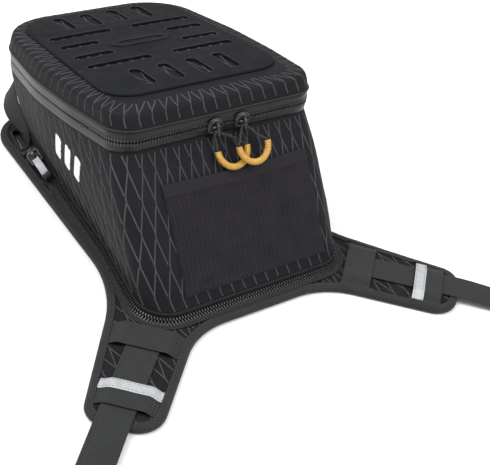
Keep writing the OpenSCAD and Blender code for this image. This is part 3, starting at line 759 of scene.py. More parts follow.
def bowed_wall(fractions, inwards, counts):
    """The wall's rings at some shares of its height, drawn inwards most halfway up."""
    return np.array([wall_ring(f, inwards * 4 * f * (1 - f), counts) for f in fractions])


def wall_rows():
    """The wall as sewn, then swollen between its seams by the cloth simulation."""
    fractions = np.linspace(0, 1, WALL_LEVELS)
    coarse = counts_for(RIM_PLAN, 6.0)
    rows = bowed_wall(fractions[::2], SEWN_IN, coarse)
    pinned = np.full(rows.shape[:2], 0.04)
    pinned[[0, -1]] = 1
    settled = settle(rows, WALL_PRESSURE, pinned, SWELL_CAP) - rows
    return bowed_wall(fractions, SEWN_IN, COUNTS) + spread(settled, coarse, WALL_LEVELS)


def spread(coarse_grid, coarse_counts, rows):
    """Moves a displacement from the coarse simulated grid to the fine one."""
    start = np.concatenate([[0], np.cumsum(coarse_counts)])
    at = np.concatenate([start[i] + np.arange(n) * coarse_counts[i] / n for i, n in enumerate(COUNTS)])
    cols = coarse_grid.shape[1]
    a = np.floor(at).astype(int) % cols
    f = (at - np.floor(at))[None, :, None]
    wide = coarse_grid[:, a] * (1 - f) + coarse_grid[:, (a + 1) % cols] * f
    level = np.linspace(0, len(coarse_grid) - 1, rows)
    i = np.minimum(level.astype(int), len(coarse_grid) - 2)
    g = (level - i)[:, None, None]
    return wide[i] * (1 - g) + wide[i + 1] * g


def wall_layer(build, rows, normals, outer, inner):
    """A layer of the wall between two depths below the outer face: a closed tube round the bag."""
    build.grid(np.concatenate([rows - normals * outer, (rows - normals * inner)[::-1]]),
               across=True, around=True)


def yarn_mark():
    """One yarn bent round its crossing like a "<": how far right it leads, and how high, in half diamonds."""
    up = np.linspace(-0.90, 0.90, 19)
    return np.clip((np.abs(up) - 0.07) / 0.93, 0, 1), up


def diamonds(surface):
    """Places round a surface, the diamonds counted up to each, and how much wider they are there."""
    along = np.linspace(0, surface.length, 801)
    normals = surface.place(along, np.full(len(along), 15.0), 0)[1]
    wider = 1 + SIDE_STRETCH * np.clip((np.abs(normals[:, 0]) - 0.5) / 0.4, 0, 1)
    index = np.concatenate([[0], np.cumsum(np.diff(along) * 2 / GRID_W / (wider[1:] + wider[:-1]))])
    return along, index * round(index[-1]) / index[-1], wider


def yarn_grid(build, surface, low, high, half_w=0.5, height=0.26):
    """The raised diamond grid: rows of yarns that turn back where they cross."""
    along, index, wider = diamonds(surface)
    count = round(index[-1])
    right, up = yarn_mark()
    for row in range(int(surface.top.max() / (GRID_H / 2)) + 2):
        for k in range(count):
            drift = RANDOM.uniform(-YARN_DRIFT, YARN_DRIFT, 2)
            s = np.interp((k + (row % 2) / 2 + right / 2) % count, index, along) + drift[0]
            t = (row + up) * GRID_H / 2 + GRID_START + drift[1]
            keep = (t > low) & (t < surface.top_at(s) - high)
            if keep.sum() > 3:
                points, normals = surface.place(s[keep], t[keep], 0.05)
                flare = np.interp(s[keep] % surface.length, along, wider)[:, None]
                ridge(build, points, normals, half_w * flare, height * flare, 1)


def flat_yarns(build, x_reach, y_reach, shown, place, half_w=0.44, height=0.2):
    """The same grid on flat cloth, kept only where shown says."""
    right, up = yarn_mark()
    half_h = GRID_H / 2
    for row in range(int(y_reach[0] / half_h) - 1, int(y_reach[1] / half_h) + 2):
        for k in range(-int(x_reach / GRID_W) - 1, int(x_reach / GRID_W) + 1):
            xy = np.column_stack([(k + (row % 2) / 2 + right / 2) * GRID_W, (row + up) * half_h])
            xy += RANDOM.uniform(-FLAT_DRIFT, FLAT_DRIFT, 2)
            keep = shown(xy)
            for run in np.split(np.arange(len(xy)), np.flatnonzero(np.diff(keep.astype(int))) + 1):
                if len(run) > 3 and keep[run[0]]:
                    points, normal = place(xy[run])
                    ridge(build, points, tiled(normal, len(run)), half_w, height, 1)


WALL = Surface(wall_rows())


def bag_shell():
    build = Build()
    wall_layer(build, WALL.rows, WALL.normals, 0, 1.0)
    yarn_grid(build, WALL, 0.8, 0.8)
    build.piece("bag_shell_cloth", [LAMINATE, YARN], "bag", "laminate", ["bag_shell"])


bag_shell()

# ---------------------------------------------------------------- flat cloth and moulded plates
def inside(points, loop):
    """Whether each point lies inside a closed outline."""
    x, y = points[:, :1], points[:, 1:]
    x0, y0 = loop[:, 0], loop[:, 1]
    x1, y1 = np.roll(x0, -1), np.roll(y0, -1)
    crosses = (y0 > y) != (y1 > y)
    at = x0 + (y - y0) * (x1 - x0) / np.where(y1 == y0, 1e-9, y1 - y0)
    return (crosses & (x < at)).sum(1) % 2 == 1


def distance_to(points, loop):
    """Distance from each point to a closed outline."""
    a, b = loop[None], np.roll(loop, -1, 0)[None]
    p = points[:, None]
    ab = b - a
    f = np.clip(((p - a) * ab).sum(2) / np.maximum((ab * ab).sum(2), 1e-9), 0, 1)
    return np.linalg.norm(p - a - f[..., None] * ab, axis=2).min(1)


ROW_STEP = 0.866        # the height of an even triangle with sides of 1


def on_plate(points, loops):
    """Whether each point lies inside the first outline and outside the others, its holes."""
    keep = inside(points, loops[0])
    for hole in loops[1:]:
        keep &= ~inside(points, hole)
    return keep


def filled(loops, spacing):
    """Even triangles over an outline with holes: points (n, 2) and counterclockwise triangles."""
    lo, hi = loops[0].min(0), loops[0].max(0)
    seeds = []
    for j, y in enumerate(np.arange(lo[1], hi[1], spacing * ROW_STEP)):
        x = np.arange(lo[0] + (j % 2) * spacing / 2, hi[0], spacing)
        seeds.append(np.column_stack([x, np.full(len(x), y)]))
    seeds = np.vstack(seeds)
    seeds = seeds[on_plate(seeds, loops)]
    for loop in loops:
        seeds = seeds[distance_to(seeds, loop) > spacing * 0.55]
    edges, start = [], 0
    for loop in loops:
        edges += [(start + k, start + (k + 1) % len(loop)) for k in range(len(loop))]
        start += len(loop)
    out = delaunay_2d_cdt([Vector(p) for p in np.vstack([*loops, seeds])], edges, [], 0, 1e-5)
    verts = np.array([list(v) for v in out[0]])
    tris = np.array([f for f in out[2] if len(f) == 3])
    tris = tris[on_plate(verts[tris].mean(1), loops)]
    a, b, c = (verts[tris[:, k]] for k in range(3))
    area = (b[:, 0] - a[:, 0]) * (c[:, 1] - a[:, 1]) - (b[:, 1] - a[:, 1]) * (c[:, 0] - a[:, 0])
    tris = np.where(area[:, None] > 0, tris, tris[:, ::-1])
    return verts, tris[np.abs(area) > 1e-6]


def border_edges(tris):
    """The edges that only one triangle has."""
    seen = {}
    for t in tris.tolist():
        for a, b in zip(t, t[1:] + t[:1]):
            if (b, a) in seen:
                del seen[(b, a)]
            else:
                seen[(a, b)] = True
    return list(seen)


def cloth_plate(build, loops, spacing, top, low, mats=(0, 0)):
    """A closed pad over an outline: top and low give the height of each point."""
    verts, tris = filled(loops, spacing)
    n = len(verts)
    points = np.vstack([at_height(verts, top(verts)), at_height(verts, low(verts))])
    rim = [[a, a + n, b + n, b] for a, b in border_edges(tris)]
    build.add(points, tris.tolist() + rim, np.vstack([verts, verts]), mats[0])
    build.add(points[n:], tris[:, ::-1].tolist(), verts, mats[1])


def loop_normals(loop):
    """The side of the material: to the left of the loop's run."""
    ahead = unit(np.roll(loop, -1, 0) - loop)
    behind = np.roll(ahead, 1, 0)
    n = unit(np.column_stack([-(ahead + behind)[:, 1], (ahead + behind)[:, 0]]))
    left = np.column_stack([-ahead[:, 1], ahead[:, 0]])
    return n / np.maximum((n * left).sum(1), 0.5)[:, None]


def moulding(build, loops, z_low, z_high, bevels, place, spacing, crown=None):
    """A plate with rounded upper edges. The first loop runs counterclockwise, holes run clockwise."""
    tops = []
    for loop, bevel in zip(loops, bevels):
        normals = loop_normals(loop)
        rows = [(0, z_low)] + [(bevel * (1 - math.cos(a)), z_high - bevel * (1 - math.sin(a)))
                               for a in np.linspace(0, PI / 2, 5)]
        grid = [at_height(loop + normals * o, z) for o, z in rows]
        if crown is not None:
            for g in grid[1:]:
                g[:, 2] += crown(g[:, :2])
        build.grid(np.array([place(g) for g in grid]), across=True)
        tops.append(loop + normals * bevel)
    verts, tris = filled(tops, spacing)
    lift = crown(verts) if crown is not None else 0
    build.add(place(at_height(verts, z_high + lift)), tris.tolist(), verts)
    verts, tris = filled(loops, spacing * 2)
    build.add(place(at_height(verts, z_low)), tris[:, ::-1].tolist(), verts)


def slab(build, pts, normals, thick, uv=None):
    """A sheet of some thickness on an open grid: the grid is its outer face."""
    inner = pts - normals * thick
    build.grid(pts, uv=uv)
    build.grid(inner, uv=uv, flip=True)
    build.grid(np.stack([inner[0], pts[0]]))
    build.grid(np.stack([pts[-1], inner[-1]]))
    build.grid(np.stack([pts[:, 0], inner[:, 0]]))
    build.grid(np.stack([inner[:, -1], pts[:, -1]]))


def mirror(build):
    """The same piece on the other side of the centre line."""
    other = Build()
    other.count = build.count
    other.verts = [v * [-1, 1, 1] for v in build.verts]
    other.faces = [f[::-1] for f in build.faces]
    uvs, start, flipped = np.vstack(build.uvs), 0, []
    for f in build.faces:
        flipped.append(uvs[start:start + len(f)][::-1])
        start += len(f)
    other.uvs, other.mats = [np.vstack(flipped)], list(build.mats)
    return other


def both(build, name, materials, body, slot, node):
    """A left piece and its mirrored right piece; {} in a body or node stands for its side."""
    for side, shape in (("left", build), ("right", mirror(build))):
        shape.piece(f"{side}_{name}", materials, body.format(side), slot, [node.format(side)])


# ---------------------------------------------------------------- harness
PAD_COUNTS = counts_for(PAD_PLAN, 2.2)
PAD_EDGE = ring_xy(PAD_PLAN, BINDING_W, PAD_COUNTS)
SLOT_HALF, SLOT_R = 12.0, 4.2
SHADE_BACKING_SLIT = -3.9         # the grip sheet runs on under each strap slot, all but a slit: a dark backing that paints the shade inside the slot


def slot_loop(extra=0.0, side=1):
    """The strap slot's rounded outline, clockwise, on the left (1) or the right (-1)."""
    r = SLOT_R + extra
    a = np.linspace(0, PI, 9)
    end = np.column_stack([r * np.cos(a), SLOT_HALF + r * np.sin(a)])
    p = np.vstack([end, -end])
    c, s = math.cos(SLOT_LEAN), math.sin(SLOT_LEAN)
    p = np.column_stack([p[:, 0] * c - p[:, 1] * s, p[:, 0] * s + p[:, 1] * c]) + FRONT_SLOT
    return p[::-1] if side > 0 else p * [-1, 1]


def pad_top_z(xy):
    """The pad swells a little inside its binding and dips between."""
    x, y = xy[:, 0], xy[:, 1]
    d = np.where(inside(xy, PAD_EDGE), distance_to(xy, PAD_EDGE), 0)
    ripple = 0.10 * np.sin(x / 9.1 + 1) * np.sin(y / 12.3) + 0.06 * np.sin(x / 4.3 + y / 5.7)
    return PAD_TOP_Z - 0.15 + (0.62 + ripple) * smooth(d / 7)


def pad_yarns(build):
    """The diamond grid of the pad's cloth, broken where the cloth ends."""
    cloth = [ring_xy(PAD_PLAN, 5.0, PAD_COUNTS), slot_loop(0.6, 1), slot_loop(0.6, -1)]
    flat_yarns(build, 190, (PAD_REAR - 90, PAD_FRONT), lambda xy: on_plate(xy, cloth),
               lambda xy: (at_height(xy, pad_top_z(xy) + 0.03), UP), 0.42, 0.17)


def harness_pad():
    build = Build()
    loops = [ring_xy(PAD_PLAN, 1.7, PAD_COUNTS), slot_loop(0, 1), slot_loop(0, -1)]
    cloth_plate(build, loops, 3.2, pad_top_z, lambda p: 1.05, (0, 2))
    pad_yarns(build)
    pad = build.piece("pad_cushion", [LAMINATE, YARN, FOAM], "harness", "laminate", ["pad_foam", "pad_top"])

    build = Build()
    # The grip sheet closes each strap slot from below except for a slit, a dark backing that stands in for
    # the shade in the slot
    loops = [ring_xy(PAD_PLAN, BINDING_W - 0.3, PAD_COUNTS), slot_loop(SHADE_BACKING_SLIT, 1), slot_loop(SHADE_BACKING_SLIT, -1)]
    cloth_plate(build, loops, 6, lambda p: 1.0, lambda p: 0.02)
    build.piece("pad_grip_underside", [GRIP], "harness", "grip_rubber", ["pad_underside"])


def web_lift(xy):
    """How far the binding rises where it covers the sewn ends of the cross webs."""
    rel = np.column_stack([-np.abs(xy[:, 0]), xy[:, 1]]) - ARM_ROOT
    along, across = rel @ ARM_DIR, np.abs(rel @ ARM_SIDE)
    lift = sum(smooth((KEEPER_W / 2 + 2 - np.abs(along - start - KEEPER_W / 2)) / 3)
               for start in (KEEPER_INNER, KEEPER_OUTER))
    return 1.3 * lift * (across > 18)


# The binding's section, as inward offset, height, and how much of the webs' lift it takes
BINDING_SECTION = [(6.4, 5.25, 1), (6.0, 5.55, 1), (5.0, 5.5, 1), (3.7, 5.75, 0.85), (2.2, 5.68, 0.45),
                   (1.0, 5.25, 0.1), (0.3, 4.4, 0), (0.02, 3.2, 0), (0.05, 2.0, 0), (0.5, 0.9, 0),
                   (1.6, 0.25, 0), (4.0, 0.05, 0), (7.6, 0.05, 0), (8.0, 0.5, 0), (7.6, 0.95, 0),
                   (2.2, 1.15, 0), (1.5, 2.8, 0), (2.0, 4.3, 0.5), (5.9, 4.65, 1)]


def pad_binding():
    """Tape folded over the pad's edge, swelling between its stitches."""
    build = Build()
    rows = np.array([ring(PAD_PLAN, d, z, PAD_COUNTS) for d, z, _ in BINDING_SECTION])
    lift = web_lift(rows[3][:, :2])
    rows[..., 2] += np.outer([share for _, _, share in BINDING_SECTION], lift)
    run = run_of(rows[6])
    pucker = 0.10 * np.sin(2 * PI * run / 6.8) + 0.08 * np.sin(run / 23)
    rows[2:6, :, 2] += pucker * np.array([0.4, 1, 1, 0.6])[:, None]
    build.grid(rows, across=True, around=True, flip=True)
    seam = ring(PAD_PLAN, 5.2, 5.56, PAD_COUNTS)
    seam[:, 2] += lift
    stitch_row(build, seam, tiled(UP, len(seam)), "binding", closed=True)
    for side in (1, -1):
        rim, row = slot_loop(0.2, side), slot_loop(1.7, side)
        tube(build, at_height(rim, pad_top_z(rim) + 0.45), 0.8, 8, closed=True)
        stitch_row(build, at_height(row, pad_top_z(row) + 0.1), tiled(UP, len(row)), "slot", closed=True)
    build.piece("pad_binding_tape", [BINDING, THREAD], "harness", "webbing", ["pad_binding"])


def arm_frame(along, z):
    """Points on the left arm's middle line at heights z."""
    return at_height(ARM_ROOT + along[:, None] * ARM_DIR, z)


UNDER_BINDING = 3.4     # the webs' sewn ends lie this far in from the pad's edge


def web_line(start):
    """Points across the arm for a web: its reach, set by the pad's outline, and its arched height."""
    outline = ring_xy(PAD_PLAN, 0, PAD_COUNTS)
    c = np.linspace(-45, 45, 181)
    xy = np.array([on_arm(start + KEEPER_W / 2, k) for k in c])
    held = inside(xy, outline) & (distance_to(xy, outline) > UNDER_BINDING)
    c = np.linspace(c[held].min(), c[held].max(), 43)
    from_end = np.minimum(c - c[0], c[-1] - c)
    z = 5.5 + (KEEPER_ROOF - 5.2) * smooth((from_end - 3.5) / 8.5) + 0.12 * np.sin(c / 3.1 + 1)
    return np.array([[*on_arm(start + KEEPER_W / 2, a), b] for a, b in zip(c, z)])


WEB_T, STRIP_T = 1.05, 0.5


def keepers():
    """The cross webs of each arm, sewn down at both ends, and the silver strip on the outer one."""
    ahead = np.array([*ARM_DIR, 0])
    for name, start in (("inner", KEEPER_INNER), ("outer", KEEPER_OUTER)):
        path = web_line(start)
        side = tiled(ahead, len(path))
        normal = unit(np.cross(tangents(path), side))
        normal *= np.sign(normal[:, 2:])
        build = Build()
        ribbon(build, path, side, normal, KEEPER_W / 2, WEB_T, ribs=11, rib=0.07)
        for end in (4, 6, -7, -5):
            lanes = np.linspace(-0.86, 0.86, 10)[:, None] * KEEPER_W / 2
            row = path[end] + normal[end] * 0.56 + lanes * ahead
            stitch_row(build, row, tiled(normal[end], 10), "web")
        both(build, f"{name}_cross_web", [WEBBING, THREAD], "harness", "webbing", "{}_" + name + "_keeper")
    lane = (path + ahead * (REFLECTOR_W / 2 - KEEPER_W / 2) + normal * 0.85)[2:-2]
    side, normal = side[2:-2], normal[2:-2]
    strip = Build()
    ribbon(strip, lane, side, normal, REFLECTOR_W / 2, STRIP_T, cup=0.08, steps=12)
    for edge in (-1, 1):
        stitch_row(strip, lane + normal * 0.22 + ahead * edge * (REFLECTOR_W / 2 - 1.3), normal, "strip")
    both(strip, "reflective_strip", [SILVER, PALE_THREAD], "harness", "reflective", "{}_reflector")


FOLD_LEN, FOLD_RISE = 22.0, 0.98


def straps():
    """Mounting webbing lying along each arm, dipping past its tip, with a folded end."""
    run = np.concatenate([np.arange(STRAP_START, ARM_LEN, 3.0), np.arange(ARM_LEN, STRAP_END, 3.0)])
    droop = 3.9 * smooth((run - ARM_LEN + 2) / 62)
    z = STRAP_Z - droop + 0.03 * np.sin(run / 8)
    turn = np.linspace(-PI / 2, PI / 2, 7)
    bend = np.column_stack([STRAP_END + 0.9 * np.cos(turn), z[-1] + FOLD_RISE + FOLD_RISE * np.sin(turn)])
    back = np.arange(STRAP_END, STRAP_END - FOLD_LEN, -3.0)
    path = arm_frame(np.concatenate([run, bend[:, 0], back]),
                     np.concatenate([z, bend[:, 1], np.interp(back, run, z) + 2 * FOLD_RISE]))
    side = tiled([*ARM_SIDE, 0], len(path))
    normal = unit(np.cross(side, tangents(path)))
    build = Build()
    ribbon(build, path, side, normal, STRAP_W / 2, STRAP_T - 0.32, ribs=9, rib=0.1, steps=40)
    flat, end = slice(0, len(run)), slice(-6, -1)
    rows = [(flat, 0.62, 0.78)] + [(end, lane, 0.86) for lane in np.linspace(-0.8, 0.8, 5)]
    for part, lane, off in rows:
        row = path[part] + side[part] * STRAP_W / 2 * lane + normal[part] * off
        stitch_row(build, row, normal[part], "strap")
    both(build, "mounting_strap", [WEBBING, THREAD], "{}_strap", "webbing", "{}_strap")


def front_flap():
    """Cloth hinge from the pad to the bag's front seam."""
    profile = spline([[206, 5.75], [202, 5.9], [199, 6.6], [197.3, 8.2], [196.6, 10.4], [196.4, 12.6]], 3)
    x = np.linspace(-52, 52, 53)
    grid = np.array([[[a, y + 0.25 * math.sin(a / 7), z] for a in x] for y, z in profile])
    out = np.cross(np.gradient(grid, axis=1), np.gradient(grid, axis=0))
    build = Build()
    slab(build, grid, unit(out), CLOTH_T)
    flap = build.piece("front_hinge_cloth", [LAMINATE], None, "laminate", ["front_flap"])
    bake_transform(flap)


# ---------------------------------------------------------------- base zip
ZIP_COUNTS = counts_for(BASE_PLAN, 1.5)


def zip_line(offset, z):
    """The line around the sides and rear, this far outside the base seam, from the left front end."""
    line = ring(BASE_PLAN, -offset, z, ZIP_COUNTS)
    return line[np.flatnonzero(line[:, 1] <= ZIP_FRONT)]


def zip_band(build, profile):
    """A strip of closed section along the zip; profile lists (outward offset, z)."""
    rows = np.array([resample(zip_line(o, z), 420, keep_end=True) for o, z in profile])
    build.grid(rows, around=True, flip=True)
    build.cap(rows[:, 0])
    build.cap(rows[:, -1], flip=True)


def chain(build, line, pitch, shift, reach, tilt, size, shape):
    """Zip teeth along a line: reach is how far their middles stand to its side, outwards."""
    run = run_of(line)
    at = np.arange(pitch * (0.5 + shift), run[-1], pitch)
    ahead = unit(points_at(line, run, at + 1) - points_at(line, run, at - 1))
    flat = unit(np.cross(ahead, UP))
    out = flat * math.cos(tilt) - np.array(UP) * math.sin(tilt)
    verts, faces = shape
    build.copies(verts * size, faces, (points_at(line, run, at) + out * reach, unit(out + ahead * 0.16),
                                       ahead, unit(np.cross(out, ahead))))


TOOTH_SIZE, TOOTH_REACH = (1.55, 0.74, 1.25), 1.3
BASE_PITCH, BASE_TILT = 2.45, math.radians(24)
# Sections of the tapes' two halves, as offset out of the base seam and height
UPPER_TAPE = [(0.9, 9.0), (0.3, 10.0), (-0.35, 11.3), (-0.9, 12.5), (-1.5, 12.4), (-0.9, 11.0), (-0.3, 9.6),
              (0.3, 8.5)]
LOWER_TAPE = [(6.3, 5.8), (9.3, 5.75), (9.6, 6.0), (9.0, 6.4), (7.6, 6.75), (6.7, 7.3), (6.2, 7.1)]


def base_zip():
    centre = zip_line(COIL_SPLIT, COIL_Z + COIL_H / 2)
    for name, way, shift, body in (("bag", -1, 0, "bag"), ("pad", 1, 0.5, "harness")):
        build = Build()
        chain(build, centre, BASE_PITCH, shift, way * TOOTH_REACH, BASE_TILT, TOOTH_SIZE, BEAD)
        bed = [(COIL_SPLIT + way * 1.2, 7.9 - way * 0.5), (COIL_SPLIT + way * 3.3, 7.9 - way * 1.2),
               (COIL_SPLIT + way * 3.3, 7.4 - way * 1.0), (COIL_SPLIT + way * 1.2, 7.3 - way * 0.2)]
        zip_band(build, bed if way < 0 else bed[::-1])
        build.piece(f"base_zip_teeth_{name}", [COIL], body, "zip_coil", [f"base_zip_coil_{name}"])

    build = Build()
    zip_band(build, UPPER_TAPE)
    line = zip_line(0.15, 10.9)
    stitch_row(build, line, unit(np.cross(tangents(line), UP)), "tape")
    build.piece("base_zip_tape_upper", [TAPE, THREAD], "bag", "webbing", ["base_zip_tape_bag"])

    build = Build()
    zip_band(build, LOWER_TAPE)
    for offset, z in ((8.9, 6.42), (7.4, 6.86)):
        line = zip_line(offset, z)
        stitch_row(build, line, tiled(UP, len(line)), "zip_lower")
    build.piece("base_zip_tape_lower", [TAPE, THREAD], "harness", "webbing", ["base_zip_tape_pad"])

    build = Build()
    tube(build, ring(BASE_PLAN, -0.75, BASE_Z - 0.2, COUNTS), 0.85, 8, closed=True)
    build.piece("bottom_seam_welt", [TAPE], "bag", "webbing", ["bottom_welt"])

    build = Build()
    middle = ZIP_FRONT + 2.4
    for k in range(2):
        rounded_box(build, (11, 4.4 - k, 0.7), 0.3, (-77.5, middle, 6.0 + 0.6 * k))
    for y in (-1.1, 1.1):
        row = np.array([[-82.4 + k, middle + y, 7.0] for k in range(11)])
        stitch_row(build, row, tiled(UP, len(row)), "patch")
    both(build, "zip_end_patch", [WEBBING, THREAD], "harness", "webbing", "zip_end_patches")
    build = Build()
    middle = ZIP_FRONT + 0.5
    for x in (-0.9, 0.9):
        rounded_box(build, (0.8, 4.8, 1.5), 0.3, (-85.2 + x, middle, 6.3))
    rounded_box(build, (2.6, 4.0, 0.6), 0.25, (-85.2, middle, 6.85))
    both(build, "zip_stop", [STEEL], "harness", "slider_metal", "base_zip_stops")


# Base slider: x inwards, y forwards, z away from the tilted zip
SLIDER_RUN, SLIDER_TILT = np.array([-0.0576, -0.9983]), math.radians(35)
SLIDER_SPOT = np.array([-72.9, 138.0, 0.0])
PULL_X, PIVOT_H, TAB_REACH = 0.4, 16.3, 16.0
LOOP_W, LOOP_T, LOOP_R, LOOP_LEN = 7.6, 1.3, 2.2, 24.0


def at_base_slider(p):
    """From the base slider's own frame to the bag's."""
    p = np.asarray(p, float)
    c, s = math.cos(SLIDER_TILT), math.sin(SLIDER_TILT)
    x, y, z = p[..., 0] * c - p[..., 2] * s, p[..., 1], p[..., 0] * s + p[..., 2] * c
    turn = math.atan2(SLIDER_RUN[1], SLIDER_RUN[0]) + PI / 2
    c, s = math.cos(turn), math.sin(turn)
    return np.stack([x * c - y * s, x * s + y * c, z], -1) + SLIDER_SPOT


def slider_ribbon(build, path, half_w, thick, **look):
    """A ribbon in the base slider's frame, its width along x."""
    side = tiled((1, 0, 0), len(path))
    band = Build()
    ribbon(band, path + [PULL_X, 0, 0], side, unit(np.cross(side, tangents(path))), half_w, thick, **look)
    build.add(at_base_slider(np.vstack(band.verts)), band.faces)


BODY_HALF, BODY_NOSE, BODY_LOW, BODY_T = 4.1, 8.0, 12.0, 2.7
TAB_HALF, TAB_CORNER = 5.0, 1.5
BRIDGE = [[0, -6.2, 14.0], [0, -5.6, 15.6], [0, -3.6, 17.6], [0, 0, 18.0], [0, 3.6, 17.6], [0, 5.6, 15.6],
          [0, 6.2, 14.0]]


def base_slider():
    """The slider's body with its bridge, then its wire tab, its webbing loop and the loop's silver face."""
    build = Build()
    a = np.linspace(0, PI, 9)
    tail = np.column_stack([-BODY_HALF * np.cos(a), -4.5 - 3.5 * np.sin(a)])
    head = np.array([[BODY_HALF, 5.4], [BODY_HALF - 1.2, BODY_NOSE], [0.7, BODY_NOSE], [0, BODY_NOSE - 1.6]])
    outline = np.vstack([tail, head, head[-2::-1] * [-1, 1]])
    moulding(build, [outline], 0, BODY_T, [0.9], lambda p: at_base_slider(p + [0, 0, BODY_LOW]), 2.5)
    slider_ribbon(build, spline(BRIDGE, 4), 1.6, 1.0, steps=8)
    build.piece("base_zip_slider", [SLIDER], "base_slider", "slider_metal", ["base_slider"])

    build = Build()
    wire = np.array([[-TAB_HALF, -1, 0], [-TAB_HALF + 0.6, 0, 0], [TAB_HALF - 0.6, 0, 0], [TAB_HALF, -1, 0],
                     [TAB_HALF, TAB_CORNER - TAB_REACH, 0], [TAB_HALF - 1.4, -TAB_REACH, 0],
                     [-TAB_HALF + 1.4, -TAB_REACH, 0], [-TAB_HALF, TAB_CORNER - TAB_REACH, 0]])
    wire = resample(closed_loop(wire), 60)
    tube(build, at_base_slider(wire + [PULL_X, 0, PIVOT_H]), 0.9, 10, closed=True)
    build.piece("base_pull_tab", [STEEL], "base_pull", "slider_metal", ["base_slider_tab"])

    build = Build()
    r = LOOP_R + LOOP_T / 2
    a = np.linspace(-PI / 2, PI / 2, 9)
    section = np.vstack([np.column_stack([r * np.cos(a), r * np.sin(a)]),
                         np.column_stack([-LOOP_LEN - r * np.cos(a) * 0.8, -r * np.sin(a)])])
    y, z = section[:, 0] - TAB_REACH + LOOP_R, section[:, 1] + PIVOT_H
    path = resample(closed_loop(np.column_stack([np.zeros(len(y)), y, z])), 64, keep_end=True)
    pinch = 1 - 0.45 * smooth((-path[:, 1] - 20) / 8) * smooth((44 + path[:, 1]) / 8 + 0.2)
    path[:, 2] = PIVOT_H + (path[:, 2] - PIVOT_H) * pinch
    slider_ribbon(build, path, LOOP_W / 2, LOOP_T, ribs=4, rib=0.06, steps=12)
    up = at_base_slider([0, 0, 1]) - at_base_slider([0, 0, 0])
    for y in (-21, -36):
        row = np.array([[PULL_X + k, y, PIVOT_H + 3.0] for k in np.linspace(-2.6, 2.6, 6)])
        stitch_row(build, at_base_slider(row), tiled(up, 6), "loop")
    build.piece("base_pull_webbing", [WEBBING, THREAD], "base_pull", "webbing", ["base_pull_loop"])

    build = Build()
    top = path[(path[:, 2] > PIVOT_H + 0.6) & (path[:, 1] < -15) & (path[:, 1] > -37.5)]
    top = top[np.argsort(top[:, 1])] + [0, 0, 0.95]
    slider_ribbon(build, top, LOOP_W / 2 - 0.7, 0.4, cup=-0.5, steps=8)
    build.piece("base_pull_silver", [SILVER], "base_pull", "reflective", ["base_pull_reflector"])


# ---------------------------------------------------------------- inside of the bag
# The layers' depths below the wall's outer face
FOAM_OUTER, FOAM_INNER, LINING_OUTER, LINING_T = 2.4, 4.0, 5.4, 0.6
# The rim binding's section, as a share of the wall's height and a depth
RIM_SECTION = [(0.94, 6.4), (0.985, 6.6), (0.9985, 6.2), (0.999, 3.6), (0.9985, 1.4), (0.99, 1.1),
               (0.97, 2.5), (0.94, 5.9)]
QUILT_PITCH = 48


def bag_inside():
    """Foam, lining with sewn tucks, rim binding and padded floor: seen with the lid open."""
    rows, normals = WALL.rows[1:], WALL.normals[1:]
    build = Build()
    wall_layer(build, rows, normals, FOAM_OUTER, FOAM_INNER)
    build.piece("wall_foam", [FOAM], "bag", "foam", ["bag_foam"])

    build = Build()
    levels, around = rows.shape[:2]
    a = np.arange(around) * 2 * PI / around
    wander, fade = np.linspace(0, 5, levels)[:, None], np.sin(np.linspace(0, PI, levels))[:, None]
    tuck = 0.22 * np.sin(a * 31 + wander) * fade
    wall_layer(build, rows, normals, LINING_OUTER, LINING_OUTER + LINING_T + tuck[..., None])
    rim = np.array([wall_ring(f, d, COUNTS) for f, d in RIM_SECTION])
    build.grid(rim, across=True, around=True, mat=1, flip=True)
    stitch_row(build, wall_ring(0.955, 6.65, COUNTS), -WALL.normals[-2], "rim", mat=2, closed=True)
    build.piece("bag_lining_cloth", [LINING, BINDING, THREAD], "bag", "lining", ["bag_lining"])

    build = Build()
    edge = ring_xy(BASE_PLAN, 3.6, counts_for(BASE_PLAN, 3.0))

    def quilt(p):
        d = distance_to(p, edge)
        seam = np.exp(-((np.mod(p[:, 1], QUILT_PITCH) - QUILT_PITCH / 2) / 1.6) ** 2)
        return 13.1 + 0.8 * smooth(d / 8) - 0.35 * seam * smooth(d / 14)
    cloth_plate(build, [edge], 4.0, quilt, lambda p: 6.9 - 0.4 * smooth(distance_to(p, edge) / 10), (0, 1))
    floor = build.piece("bag_floor_pad", [LINING, LAMINATE], "bag", "lining", ["floor_board", "floor_fabric"])


# ---------------------------------------------------------------- outside details of the bag
POCKET_X, POCKET_LOW, POCKET_HIGH, HEM_H = (-60.0, 70.0), 10.0, 96.0, 11.0
FACE_LEN = math.hypot(RIM_REAR - BASE_REAR, RIM_Z - BASE_Z)


def face_z(up):
    """Height of a point this far up the sloping rear face."""
    return BASE_Z + up * (RIM_Z - BASE_Z) / FACE_LEN


def columns_where(test):
    """The wall's columns whose middle point passes a test."""
    return np.flatnonzero(test(WALL.rows[len(WALL.rows) // 2]))


